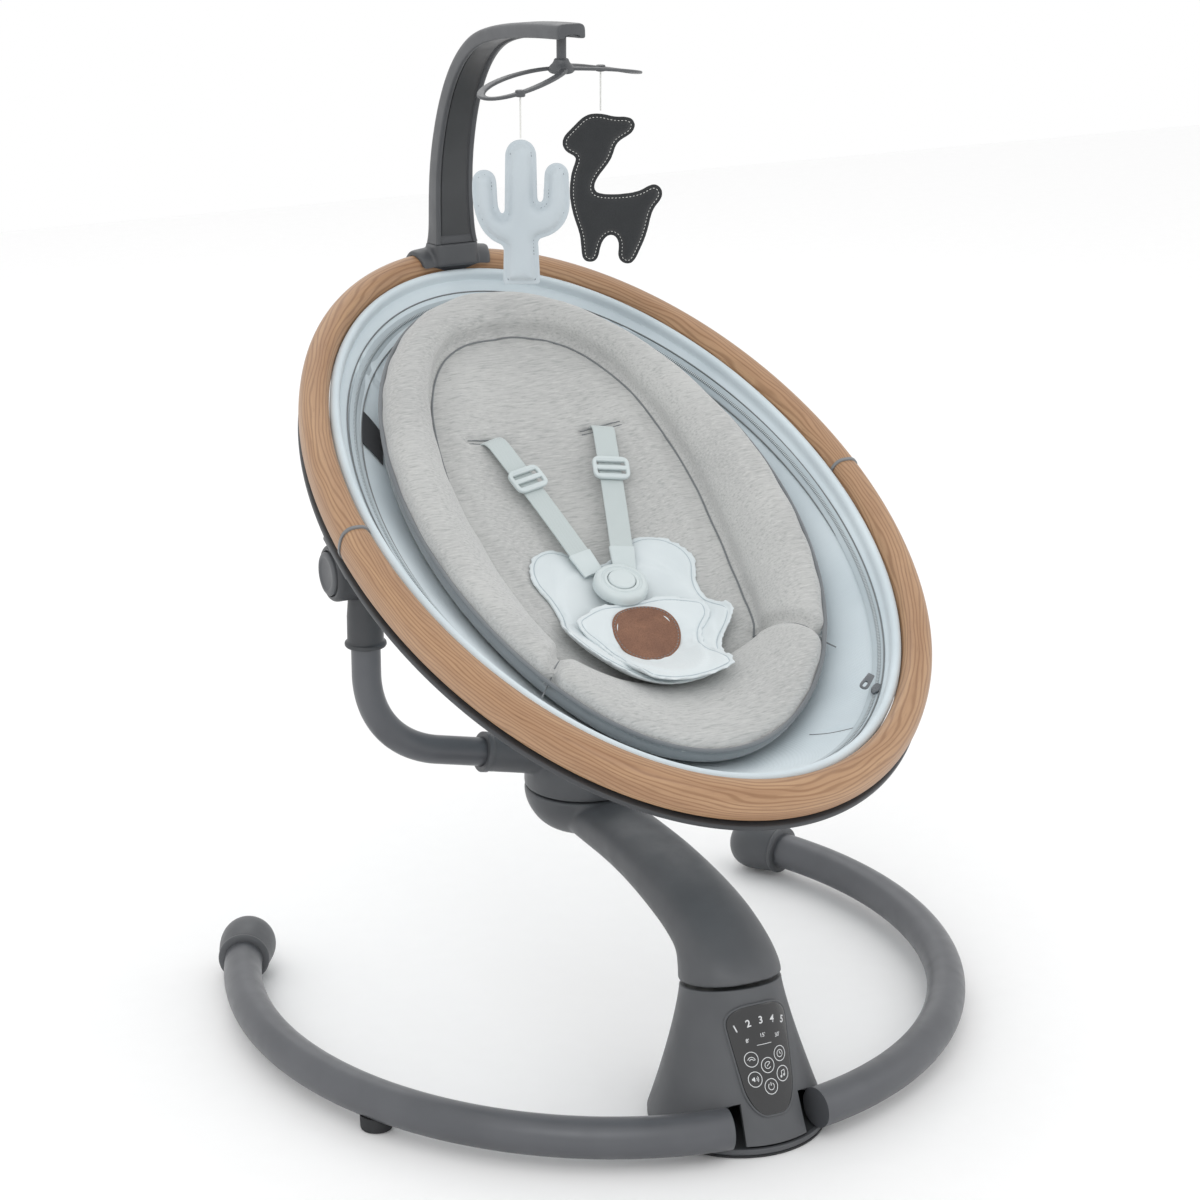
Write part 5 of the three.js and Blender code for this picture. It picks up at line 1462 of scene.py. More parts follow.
def floor_height(x, y):
    """The height of the basin's floor, with a little room for the insert's underside."""
    s = liner_share(x, y)
    return -(LINER["depth"] - LINER["wall"]) * (1 - s ** LINER["power"]) + INSERT["clearance"]


panel_curve = closed_spline(panel_loop, 400)


def insert_shares(x, y):
    """Shares of the way out to the panel's seam and to the outer oval."""
    angle = np.arctan2(x - MIDDLE[0], y - MIDDLE[1])
    r = np.hypot(x - MIDDLE[0], y - MIDDLE[1])
    inner, outer = distance_out(panel_curve, angle), ellipse_out(angle)
    return r, inner, outer


def insert_height(x, y):
    """Height of the insert's face: a slightly domed panel, then a bolster that is round across."""
    r, inner, outer = insert_shares(x, y)
    t = np.clip((r - inner) / (outer - inner), 0, 1)
    panel = 27 + 6 * (1 - np.clip(r / inner, 0, 1) ** 5)
    round_up = np.clip(4 * t**0.85 * (1 - t**0.85), 0, 1) ** 0.55
    bolster = 25 + (INSERT["bolster"] - 25) * round_up - 5 * t
    return floor_height(x, y) + np.where(r < inner, panel, bolster)


def face_at(x, y):
    return insert_height(np.asarray(x, dtype=float), np.asarray(y, dtype=float))


def insert_grid():
    angle = np.linspace(-np.pi, np.pi, 240, endpoint=False)[None]
    inner, outer = distance_out(panel_curve, angle), ellipse_out(angle)
    reach = np.vstack([inner * f for f in (0.03, 0.2, 0.4, 0.6, 0.8, 0.9, 0.96, 1.0)]
                      + [inner + (outer - inner) * f for f in np.linspace(0.04, 1, 22)])
    x, y = MIDDLE[0] + reach * np.sin(angle), MIDDLE[1] + reach * np.cos(angle)
    top = np.stack([x, y, face_at(x, y)], -1)
    edge = top[-1]
    ground = floor_height(edge[:, 0], edge[:, 1])
    side = [np.column_stack([edge[:, :2] + (edge[:, :2] - MIDDLE) * k, ground + (edge[:, 2] - ground) * f])
            for f, k in ((0.75, 0.004), (0.4, 0.002), (0.1, -0.012))]
    under = [np.column_stack([MIDDLE + (edge[:, :2] - MIDDLE) * f] + [floor_height(
        *(MIDDLE + (edge[:, :2] - MIDDLE) * f).T)]) for f in (0.95, 0.85, 0.7, 0.5, 0.3, 0.1, 0.02)]
    return np.concatenate([top, np.stack(side), np.stack(under)])


print("insert is", 2 * INSERT["half_x"], "by", 2 * INSERT["half_y"], "mm")

# %% [markdown]
# The solve holds a group of points and lets the rest swell for 20 frames. How far a point may move is
# capped, so that the piece keeps its drawn size. One subdivision then smooths the skin.

# %% Swell with air
def even_skin(obj, voxel):
    """A voxel remesh, with a few steps of smoothing."""
    remesh = obj.modifiers.new("even_skin", "REMESH")
    remesh.mode = "VOXEL"
    remesh.voxel_size = voxel * MM
    smooth = obj.modifiers.new("smooth", "SMOOTH")
    smooth.factor = 0.5
    smooth.iterations = 3
    return apply_modifiers(obj)


def swollen(obj, held, cap, pressure=4.0, frames=20):
    """Swells a closed skin with air; `held` marks the points that stay, and `cap` is in millimetres."""
    rest = mesh_points(obj)
    group = obj.vertex_groups.new(name="held")
    group.add(np.flatnonzero(held).tolist(), 1.0, "REPLACE")
    cloth = obj.modifiers.new("air", "CLOTH")
    settings = cloth.settings
    settings.quality = 4
    settings.mass = 0.15
    settings.tension_stiffness = settings.compression_stiffness = 12
    settings.bending_stiffness = 0.4
    settings.vertex_group_mass = "held"
    settings.use_pressure = True
    settings.uniform_pressure_force = pressure
    settings.effector_weights.gravity = 0
    cloth.point_cache.frame_start, cloth.point_cache.frame_end = 1, frames
    for number in range(1, frames + 1):
        bpy.context.scene.frame_set(number)
    apply_modifiers(obj)
    obj.vertex_groups.clear()
    bpy.context.scene.frame_set(1)
    move = mesh_points(obj) - rest
    size = np.linalg.norm(move, axis=1)[:, None]
    set_points(obj, rest + move * np.minimum(1, cap * MM / np.maximum(size, 1e-9)))
    print(obj.name, "swelled by up to", round(1000 * float(size.max()), 1), "mm before the cap")
    return obj


def subdivided(obj):
    smooth = obj.modifiers.new("smooth_skin", "SUBSURF")
    smooth.levels = smooth.render_levels = 1
    return apply_modifiers(obj)


def point_normals(obj):
    normals = np.empty(len(obj.data.vertices) * 3, dtype=np.float32)
    obj.data.vertices.foreach_get("normal", normals)
    return normals.reshape(-1, 3).astype(float)


def groove(depth, width, off):
    """How far a stitched line pulls the cloth in, at a distance from it."""
    return depth * np.exp(-((off / width) ** 2))


def second_material(obj, material, chosen):
    """Gives some faces another material."""
    obj.data.materials.append(material)
    obj.data.polygons.foreach_set("material_index", np.asarray(chosen, dtype=np.int32))
    obj.data.update()


def face_middles(obj):
    centres = np.empty(len(obj.data.polygons) * 3, dtype=np.float32)
    obj.data.polygons.foreach_get("center", centres)
    return centres.reshape(-1, 3).astype(float)


print("cushions swell in 20 frames")

# %% [markdown]
# The seams pull the cloth in: one round the inner panel, one at each lower corner where the side bolsters
# meet the bottom one, and two stitched slits for the shoulder straps.

# %% Insert
SLITS = {"x": 60, "y": 138, "half": 21}
CORNER_SEAMS = [np.array([[side * 97, -140], [side * 128, -176], [side * 148, -198]]) for side in (-1, 1)]


def off_segment(points, a, b):
    """Distance of 2D points from a straight line between a and b."""
    a, b = np.asarray(a, dtype=float), np.asarray(b, dtype=float)
    along = np.clip(((points - a) @ (b - a)) / ((b - a) @ (b - a)), 0, 1)
    return np.linalg.norm(points - a - along[:, None] * (b - a), axis=1)


def seam_pull(place):
    """The depth, in millimetres, that seams pull each point of the insert in."""
    r, inner, outer = insert_shares(place[:, 0], place[:, 1])
    pull = groove(4.5, 4.5, r - inner)
    for seam in CORNER_SEAMS:
        off = np.minimum(off_segment(place[:, :2], *seam[:2]), off_segment(place[:, :2], *seam[1:]))
        pull = np.maximum(pull, groove(9, 6.5, off))
    for side in (-1, 1):
        x, half, y = side * SLITS["x"], SLITS["half"], SLITS["y"]
        ends = [[x - half, y], [x + half, y]]
        pull = np.maximum(pull, groove(4, 4, off_segment(place[:, :2], *ends)))
    wrinkle = 0.9 * np.sin(place[:, 0] / 9 + place[:, 1] / 31) * np.sin(place[:, 1] / 14 + 2)
    near = np.exp(-(((r - inner) / 16) ** 2)) + np.exp(-(((r - outer) / 12) ** 2))
    return pull + wrinkle * near


def make_insert():
    insert = grid_object("newborn_cushion", from_seat(insert_grid()))
    even_skin(insert, 5)
    place = to_seat(mesh_points(insert))
    r, inner, outer = insert_shares(place[:, 0], place[:, 1])
    above = place[:, 2] - floor_height(place[:, 0], place[:, 1])
    held = (above < 16) | (np.abs(r - inner) < 5) | (r > outer - 6)
    swollen(insert, held, 5)
    subdivided(insert)
    place, normals = to_seat(mesh_points(insert)), point_normals(insert)
    above = place[:, 2] - floor_height(place[:, 0], place[:, 1])
    pull = np.where(above > 14, seam_pull(place), 0)
    set_points(insert, mesh_points(insert) - normals * pull[:, None] * MM)
    finish(insert, "seat", "heather_fabric", jersey, "newborn_insert", sharp=None)
    place = to_seat(face_middles(insert))
    r, inner, outer = insert_shares(place[:, 0], place[:, 1])
    above = place[:, 2] - floor_height(place[:, 0], place[:, 1])
    second_material(insert, band_cloth, (r > outer - 7) & (above < 17))
    return insert


insert = make_insert()
insert_points = to_seat(mesh_points(insert))
insert_tips = to_seat(mesh_points(insert) + point_normals(insert) * MM)
insert_top = insert_points[insert_tips[:, 2] > insert_points[:, 2] + 0.3]


def on_insert(points, lift):
    """Sets 2D points on the insert's face: the height of its nearest point, plus a lift."""
    points = np.asarray(points, dtype=float)
    near = np.argmin(np.linalg.norm(points[:, None] - insert_top[None, :, :2], axis=2), axis=1)
    h = insert_top[near, 2]
    if len(h) > 6:
        h = np.convolve(np.pad(h, 2, mode="edge"), np.ones(5) / 5, mode="valid")
    return np.column_stack([points, h + lift])


def outer_line(scale, count=360):
    angle = np.linspace(-np.pi, np.pi, count, endpoint=False)
    out = ellipse_out(angle) * scale
    return np.column_stack([MIDDLE[0] + out * np.sin(angle), MIDDLE[1] + out * np.cos(angle)])


def rise_of(points, amount):
    return np.column_stack([points, floor_height(*points.T) + amount])


piping = grid_object("insert_piping", from_seat(swept(rise_of(outer_line(1.004), 19.5), oval(4.4, 4.4, 2, 12),
                                                      UP, True)), (True, True))
finish(piping, "seat", "heather_fabric", piping_cloth)
seam_line = grid_object("panel_seam", from_seat(swept(on_insert(panel_curve[::2], 0.5), oval(2.0, 1.6, 2, 8),
                                                      UP, True)), (True, True))
finish(seam_line, "seat", "heather_fabric", seam_thread)
for number, seam in enumerate(CORNER_SEAMS):
    path = on_insert(spline(seam, 24), 0.4)
    obj = grid_object(f"corner_seam_{number}", from_seat(swept(path, oval(1.5, 1.2, 2, 8), UP)))
    finish(obj, "seat", "heather_fabric", seam_thread)
for side, word in SIDES:
    x = side * SLITS["x"] + np.linspace(-SLITS["half"], SLITS["half"], 40)
    for row, y in enumerate((SLITS["y"] + 2.8, SLITS["y"] - 2.8)):
        path = on_insert(np.column_stack([x, np.full(40, y)]), 0.1)
        obj = grid_object(f"slit_stitch_{word}_{row}", from_seat(swept(path, oval(1.5, 1.1, 2, 8), UP)))
        finish(obj, "seat", "heather_fabric", seam_thread)
print("insert skin has", len(insert.data.polygons), "faces")

# %% [markdown]
# ## The harness
# A pad lies between the legs: a back layer with two rounded ears and a narrower front flap that laps over
# the buckle. Both are pillows: a closed outline shrunk towards a middle, its height falling near the edge.

# %% Belly pad
BELLY = {"thick": 11, "lift": 9}
BUCKLE = {"y": -52, "radius": 26, "thick": 11, "button": 13}


def cad_thickness(x, y):
    """How thick the plain insert is: the straps and the buckle stand at heights measured from it."""
    ray = np.hypot(x / INSERT["half_x"], (y - INSERT["centre"]) / INSERT["half_y"])
    k = np.clip((ray - 0.5) / 0.24, 0, 1)
    rise = INSERT["panel"] + (INSERT["bolster"] - INSERT["panel"]) * k * k * (3 - 2 * k)
    return rise * (0.15 + 0.85 * np.sqrt(1 - np.clip((ray - 0.78) / 0.22, 0, 1) ** 2))


def cad_face(x, y):
    return floor_height(x, y) + cad_thickness(x, y)


def pad_top(y):
    y = np.asarray(y, dtype=float)
    return cad_face(0 * y, y) + BELLY["lift"] + BELLY["thick"]


buckle_z = float(pad_top(BUCKLE["y"])) + 9


def even_loop(points, count, soften):
    """A closed outline with evenly spaced points, softened by averaging with its neighbours."""
    points = np.vstack([points, points[:1]])
    run = np.concatenate([[0], np.cumsum(np.linalg.norm(np.diff(points, axis=0), axis=1))])
    at = np.linspace(0, run[-1], count, endpoint=False)
    loop = np.column_stack([np.interp(at, run, points[:, k]) for k in (0, 1)])
    for _ in range(soften):
        loop = (np.roll(loop, 1, 0) + 2 * loop + np.roll(loop, -1, 0)) / 4
    return loop


def inset(loop, distance):
    """The outline moved inwards by a distance, along its normals."""
    step = np.roll(loop, -3, 0) - np.roll(loop, 3, 0)
    normal = np.column_stack([-step[:, 1], step[:, 0]])
    normal /= np.linalg.norm(normal, axis=1)[:, None]
    area = 0.5 * np.sum(loop[:, 0] * np.roll(loop[:, 1], -1) - np.roll(loop[:, 0], -1) * loop[:, 1])
    return loop + normal * distance * np.sign(area)


def nearest(points, loop):
    """Distance of each 2D point from the outline, in blocks."""
    parts = [np.min(np.linalg.norm(block[:, None] - loop[None], axis=2), axis=1)
             for block in np.array_split(points, max(1, len(points) // 4000))]
    return np.concatenate(parts)


def pillow(name, half_loop, centre, base, thick, cap, voxel=3.0):
    """A stuffed flat shape: its loop shrunk to a centre, thick in the middle and thin at the edge."""
    loop = closed_spline(half_loop + [[-x, y] for x, y in half_loop[-2:0:-1]], 320)
    share = np.array([0.02, 0.25, 0.5, 0.7, 0.82, 0.9, 0.95, 0.985, 1.0])
    flat = np.asarray(centre) + share[:, None, None] * (loop - centre)[None]
    x, y = flat[..., 0], flat[..., 1]
    puff = (1 - share**6) ** 0.5
    half = thick / 2
    top = np.stack([x, y, base(x, y) + half + half * puff[:, None]], -1)
    under = np.stack([x, y, base(x, y) + half - half * puff[:, None]], -1)[::-1][1:]
    obj = grid_object(name, from_seat(np.concatenate([top, under])))
    even_skin(obj, voxel)
    place = to_seat(mesh_points(obj))
    edge = np.min(np.linalg.norm(place[:, None, :2] - loop[None], axis=2), axis=1)
    swollen(obj, (edge < 6) | (place[:, 2] < base(place[:, 0], place[:, 1]) + half * 0.6), cap)
    subdivided(obj)
    place, normals = to_seat(mesh_points(obj)), point_normals(obj)
    edge = np.min(np.linalg.norm(place[:, None, :2] - loop[None, ::2], axis=2), axis=1)
    on_top = place[:, 2] > base(place[:, 0], place[:, 1]) + half * 0.9
    pull = np.where(on_top, groove(1.3, 1.6, edge - 6.5), 0)
    set_points(obj, mesh_points(obj) - normals * pull[:, None] * MM)
    finish(obj, "seat", "liner_fabric", pad_cloth, sharp=None)
    return obj, loop


def back_base(x, y):
    return np.maximum(face_at(x, y) + 1.0, cad_face(x, y) + 5)


def flap_base(x, y):
    """The flap lies on the back layer below, and climbs over the buckle's lower half above."""
    k = np.clip((y + 128) / 44, 0, 1)
    climb = k * k * (3 - 2 * k)
    narrow = np.exp(-((x / 52) ** 4))
    return back_base(x, y) + 9 + climb * (6 + 8 * narrow)


ears = [[0, -6], [14, -3], [30, 8], [50, 11], [69, 1], [82, -18], [85, -40], [78, -60], [77, -80],
        [84, -100], [86, -116], [76, -132], [62, -146], [52, -170], [45, -188], [28, -194], [0, -195]]
flap = [[0, -70], [30, -73], [58, -86], [68, -96], [66, -112], [54, -124], [48, -142], [48, -175],
        [46, -194], [38, -203], [0, -205]]
back_pad, back_loop = pillow("belly_pad_back", ears, (0, -80), back_base, 10, 2.5)
front_pad, flap_loop = pillow("belly_pad_flap", flap, (0, -130), flap_base, 8, 2.5)
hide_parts("belly_pad")
print("belly pad layers:", len(back_pad.data.polygons), len(front_pad.data.polygons), "faces")


def top_of(obj):
    place, tip = to_seat(mesh_points(obj)), to_seat(mesh_points(obj) + point_normals(obj) * MM)
    return place[tip[:, 2] > place[:, 2] + 0.4]


def laid_on(top, points, lift):
    """Sets 2D points on a measured surface, smoothing the heights along the line."""
    near = np.argmin(np.linalg.norm(points[:, None] - top[None, :, :2], axis=2), axis=1)
    h = top[near, 2]
    h = np.convolve(np.concatenate([h[-3:], h, h[:3]]), np.ones(7) / 7, mode="valid")
    return np.column_stack([points, h + lift])


def edge_stitch(name, obj, loop):
    """A fine line of stitches 6.5 mm inside the edge."""
    seam = inset(even_loop(loop, 300, 4), 6.5)
    seam = even_loop(seam[nearest(seam, loop) > 5.8], 300, 4)
    path = laid_on(top_of(obj), seam, 0.15)
    cord = grid_object(name, from_seat(swept(path, oval(1.0, 0.8, 2, 8), UP, True)), (True, True))
    return finish(cord, "seat", "liner_fabric", tape_cloth)


edge_stitch("flap_stitch", front_pad, flap_loop)
edge_stitch("back_stitch", back_pad, back_loop)

# %% [markdown]
# A leather disc is sewn on the flap. Its emboss is a plain ring and a four-petal figure, nothing more.

# %% Patch
PATCH = {"x": 0, "y": -112, "half_x": 33, "half_y": 31, "thick": 1.6}


def leather_patch():
    top = top_of(front_pad)
    count, rings = 160, 44
    angle = np.linspace(0, 2 * np.pi, count, endpoint=False)[None]
    share = np.linspace(0.02, 1, rings)[:, None]
    x = PATCH["x"] + PATCH["half_x"] * share * np.cos(angle)
    y = PATCH["y"] + PATCH["half_y"] * share * np.sin(angle)
    spots = np.column_stack([x.ravel(), y.ravel()])
    local = top[np.linalg.norm(top[:, :2] - [PATCH["x"], PATCH["y"]], axis=1) < 42]
    terms = lambda p: np.column_stack([np.ones(len(p)), p, p[:, 0] ** 2, p[:, 1] ** 2, p[:, 0] * p[:, 1],
                                       p[:, 1] ** 3, p[:, 0] ** 2 * p[:, 1]])
    fit = np.linalg.lstsq(terms(local[:, :2] / 40), local[:, 2], rcond=None)[0]
    h = (terms(spots / 40) @ fit).reshape(x.shape)
    ring_mark = np.exp(-(((share - 0.84) / 0.022) ** 2)) + np.exp(-(((share - 0.5) / 0.018) ** 2))
    petals = np.exp(-(((share - 0.36 * np.abs(np.cos(2 * angle)) - 0.03) / 0.03) ** 2)) * (share < 0.45)
    edge = 0.7 * np.clip((share - 0.95) / 0.05, 0, 1) ** 2
    h = h + PATCH["thick"] - 0.45 * ring_mark - 0.5 * petals - edge
    lower = np.stack([x[-1], y[-1], h[-1] - 1.6], -1)[None]
    grid = np.concatenate([np.stack([x, y, h + 0 * x], -1), lower])
    patch = grid_object("leather_patch", from_seat(grid))
    finish(patch, "seat", "liner_fabric", leather, sharp=60)
    ring = np.column_stack([PATCH["x"] + 0.93 * PATCH["half_x"] * np.cos(angle[0]),
                            PATCH["y"] + 0.93 * PATCH["half_y"] * np.sin(angle[0])])
    return np.column_stack([ring, (terms(ring / 40) @ fit) + PATCH["thick"] + 0.1])


def dashes(name, path, size, pitch, gap, body, slot, material, away=UP, closed=True):
    """Stitches along a line: a short round bar for each, six-sided, all in one mesh."""
    path = np.asarray(path, dtype=float)
    if closed:
        path = np.vstack([path, path[:1]])
    run = np.concatenate([[0], np.cumsum(np.linalg.norm(np.diff(path, axis=0), axis=1))])
    count = int(run[-1] / pitch)
    first = np.arange(count) * run[-1] / count
    stations = first[:, None] + np.linspace(0, pitch - gap, 4)[None]
    at = np.stack([np.interp(stations, run, path[:, k]) for k in range(3)], -1)
    direction = at[:, -1] - at[:, 0]
    direction /= np.linalg.norm(direction, axis=1)[:, None]
    side = np.cross(direction, away)
    side /= np.linalg.norm(side, axis=1)[:, None]
    up = np.cross(side, direction)
    ring = oval(size, size, 2, 6)
    swell = np.array([0.55, 1, 1, 0.55])[None, :, None, None]
    grid = at[:, :, None] + swell * (ring[:, :1] * side[:, None, None] + ring[:, 1:] * up[:, None, None])
    grid[:, [0, -1]] -= 0.3 * size * up[:, None, None]
    number = np.arange(24).reshape(4, 6)
    number = np.concatenate([number, number[:, :1]], 1)
    quad = np.stack([number[:-1, :-1], number[1:, :-1], number[1:, 1:], number[:-1, 1:]], 2).reshape(-1, 4)
    ends = np.array([[0, 1, 2, 3], [0, 3, 4, 5], [21, 20, 19, 18], [23, 22, 21, 18]])
    faces = (np.vstack([quad, ends])[None] + 24 * np.arange(count)[:, None, None]).reshape(-1, 4)
    obj = mesh_object(name, grid.reshape(-1, 3), [faces])
    if signed_volume(obj) < 0:
        obj.data.flip_normals()
    return finish(obj, body, slot, material, sharp=None)


patch_ring = leather_patch()
dashes("patch_stitches", from_seat(patch_ring), 0.9 * MM, 3.4 * MM, 1.3 * MM, "seat", "liner_fabric",
       piping_cloth)
print("patch", 2 * PATCH["half_x"], "mm across")

# %% [markdown]
# Two shoulder straps of ribbed webbing come out of the slits, pass through sliding adjusters and end under
# the buckle. A strap is a flat section carried along a quadratic curve.

# %% Straps, adjusters and buckle
STRAP = {"width": 22, "thick": 2.4, "top_x": 60, "top_y": 140, "end_x": 16, "end_y": -28, "adjust": 0.36}


def strap_line(side, count=60):
    """The strap's curve, and in front of it a short dive into the slit."""
    x = STRAP["top_x"] + STRAP["width"] / 2
    top = np.array([side * STRAP["top_x"], STRAP["top_y"], float(cad_face(x, STRAP["top_y"])) + 8])
    end = np.array([side * STRAP["end_x"], STRAP["end_y"], float(pad_top(STRAP["end_y"])) + 2])
    mid = (top + end) / 2 + [0, 0, 4]
    return bezier([top, mid, end], count)


def make_strap(side, word):
    line_points = strap_line(side)
    top = line_points[0]
    face = float(on_insert([[top[0], top[1]]], 0)[0, 2])
    dive = bezier([[top[0] + side * 0.5, SLITS["y"] + 1, face - 9], [top[0], SLITS["y"] + 1, face + 4],
                   line_points[3] + [0, 0, 1.0], line_points[7]], 20)
    path = np.vstack([dive[:-1], line_points[7:]])
    section = from_below(oval(STRAP["width"], STRAP["thick"], 5, 32)) + [0, STRAP["thick"] / 2]
    strap = grid_object(f"strap_{word}", from_seat(swept(path, section, UP)))
    finish(strap, "seat", "webbing", webbing, f"shoulder_strap_{word}", sharp=None)
    run = np.linalg.norm(np.diff(path, axis=0), axis=1).sum()
    return strap, run


def frame_axes(side):
    """Place and axes of an adjuster: across the strap, along it and off it."""
    points = strap_line(side, 101)
    k = round(STRAP["adjust"] * 100)
    along = points[k + 1] - points[k - 1]
    along /= np.linalg.norm(along)
    across = np.cross(along, UP)
    across /= np.linalg.norm(across)
    off = np.cross(across, along)
    return points[k] + off * (STRAP["thick"] + 0.6), np.column_stack([across, along, off])


def adjuster(side, word):
    """A rounded frame with a bar across its middle, over which the strap runs."""
    spot, axes = frame_axes(side)
    corners = np.array([[-16, 11], [16, 11], [16, -11], [-16, -11]], dtype=float)
    ring = rounded(np.vstack([[0, 11], corners[1], corners[2], corners[3], corners[0], [0, 11]]), 6, 9)[:-1]
    path = np.column_stack([ring, np.full(len(ring), 2.4)])
    frame_ring = grid_object("ring", from_seat(moved(swept(path, oval(4.2, 4.4, 3, 20), UP, True), spot,
                                                     axes)), (True, True))
    bars = []
    for y, wide, z in ((0, 5.2, 2.6), (8.6, 2.4, 2.2), (-8.6, 2.4, 2.2)):
        bar_path = np.column_stack([np.linspace(-15, 15, 12), np.full(12, y), np.full(12, z)])
        grid = swept(bar_path, oval(wide, 3.8, 3, 16), UP)
        bars.append(grid_object("bar", from_seat(moved(grid, spot, axes))))
    obj = joined(f"adjuster_{word}", [frame_ring, *bars])
    return finish(obj, "seat", "pale_plastic", pale_plastic, f"strap_adjuster_{word}", sharp=45)


def buckle():
    """A round buckle with a raised rim and a C-shaped groove round its button."""
    r, t, b = BUCKLE["radius"], BUCKLE["thick"], BUCKLE["button"] + 0.6
    profile = rounded([[0.01, 0], [r - 1, 0], [r, 1], [r, t - 4], [r - 2.5, t - 0.6], [b + 6, t],
                       [b + 5.2, t - 1.2], [b + 3.6, t - 1.2], [b + 2.8, t], [b, t], [b, t - 4],
                       [0.01, t - 4]], [0, 0.5, 0.8, 2.5, 2.5, 0.6, 0.4, 0.4, 0.6, 0.7, 0.3, 0])
    body = grid_object("buckle_body", from_seat(moved(turned(profile, 128), (0, BUCKLE["y"], buckle_z))))
    finish(body, "seat", "pale_plastic", pale_plastic, "harness_buckle", sharp=50)
    r = BUCKLE["button"]
    profile = rounded([[0.01, 0], [r - 0.6, 0], [r, 0.6], [r, 2.4], [r - 1.6, 3.6], [r - 4, 3.2],
                       [0.01, 2.4]], [0, 0.3, 0.4, 1.2, 1.2, 2.5, 0], 6)
    z = buckle_z + BUCKLE["thick"] - 4 + 2.2
    button = grid_object("buckle_press_pad", from_seat(moved(turned(profile, 96), (0, BUCKLE["y"], z))))
    finish(button, "buckle_press", "pale_plastic", pale_plastic, "buckle_button", sharp=50)


def strap_tongue(side, word):
    """The flat moulded tongue at a strap's end that enters the buckle."""
    points = strap_line(side, 101)[86:]
    wide = np.linspace(25, 22, len(points))
    sizes = np.column_stack([wide, np.full(len(points), 4.4)])
    sections = oval(1, 1, 4, 32)[None] * sizes[:, None] + [0, 1.4]
    grid = swept(points, sections, UP)
    obj = grid_object(f"tongue_{word}", from_seat(grid))
    return finish(obj, "seat", "pale_plastic", pale_plastic, sharp=45)


for side, word in SIDES:
    strap, run = make_strap(side, word)
    adjuster(side, word)
    strap_tongue(side, word)
buckle()
print("each strap shows", round(run), "mm of webbing")

# %% [markdown]
# ## The toy bar
# The arch is one moulding with a channel down its inner face. Its centre line is three cubic curves; the
# section is 26 mm deep and 42 mm broad at the foot and thins to 14 by 28 mm at the tip.

# %% Arch and clip
ARCH = {"y": 352, "z": 688, "lean": 4}
lean = math.radians(ARCH["lean"])
arch_axis = np.array([0, math.sin(lean), math.cos(lean)])


def arch_line(count=60):
    foot = np.array([0, ARCH["y"], ARCH["z"]]) + 0.4 * arch_axis
    shoulder, crown = np.array([0, 343, 798.0]), np.array([0, 241, 907.0])
    parts = [bezier([foot, foot + 40 * arch_axis, [0, 356, 760], shoulder], count),
             bezier([shoulder, [0, 325, 853], [0, 290, 893], crown], count)[1:],
             bezier([crown, [0, 205, 918], [0, 140, 926], [0, 72, 931]], count)[1:]]
    return np.vstack(parts)


def channel(deep, broad, dent=2.6, wall=4.6):
    """A rounded bar whose inner face is dented between two walls."""
    d, w = deep / 2, broad / 2
    floor = w - wall - 1
    corners = [[d, 0], [d, w], [-d, w], [-d, w - wall], [dent - d, floor], [dent - d, -floor],
               [-d, wall - w], [-d, -w], [d, -w], [d, 0]]
    return rounded(corners, [0, 6.5, 2.4, 1.2, 0.8, 0.8, 1.2, 2.4, 6.5, 0], 6)[:-1]


def slab(deep, broad):
    """The strip that lines the channel, coloured darker than the arch as painted shade in the recess."""
    d, w = deep / 2, broad / 2 - 6.4
    corners = [[2.9 - d, 0], [2.9 - d, w], [1.7 - d, w], [1.7 - d, -w], [2.9 - d, -w], [2.9 - d, 0]]
    return rounded(corners, [0, 0.4, 0.8, 0.8, 0.4, 0], 4)[:-1]


def arch_sizes(path):
    run = np.concatenate([[0], np.cumsum(np.linalg.norm(np.diff(path, axis=0), axis=1))])
    share = run / run[-1]
    flare = 3.5 * np.exp(-run / 9)
    return 26 - 12 * np.minimum(1, share * 1.6) + flare, 42 - 14 * share + flare, run


def toy_arch():
    path = arch_line()
    deep, broad, run = arch_sizes(path)
    sections = np.array([channel(d, b) for d, b in zip(deep, broad)])
    to_tip = run[-1] - run
    sections *= (1 - 0.22 * np.exp(-to_tip / 0.7) - 0.06 * np.exp(-to_tip / 2.5))[:, None, None]
    tip = path[-1] + (path[-1] - path[-2]) / np.linalg.norm(path[-1] - path[-2]) * np.array([[-1.2], [-0.5],
                                                                                          [0.0]])
    path = np.vstack([path[:-1], tip])
    sections = np.concatenate([sections[:-1], sections[-2:-1] * 0.97, sections[-2:-1] * 0.93,
                               sections[-2:-1] * 0.84])
    bar = grid_object("toy_bar_arch", world(swept(path, sections, (1, 0, 0))))
    finish(bar, "toy_bar", "toy_bar_plastic", bar_plastic, "toy_arch", sharp=38)
    path = arch_line()[4:-9]
    strips = np.array([slab(d, b) for d, b in zip(deep[4:-9], broad[4:-9])])
    strip = grid_object("toy_bar_channel", world(swept(path, strips, (1, 0, 0))))
    # the strip's darker colour is painted shade in the channel
    finish(strip, "toy_bar", "toy_bar_plastic", bar_channel_shade)


def box_tool(wide, long, high, middle_point):
    x, y = wide / 2, long / 2
    ring = np.array([[-x, -y], [x, -y], [x, y], [-x, y]])
    grid = np.stack([np.column_stack([ring, np.full(4, h)]) for h in (-high / 2, high / 2)])
    return grid_object("tool", from_seat(moved(grid, middle_point)))


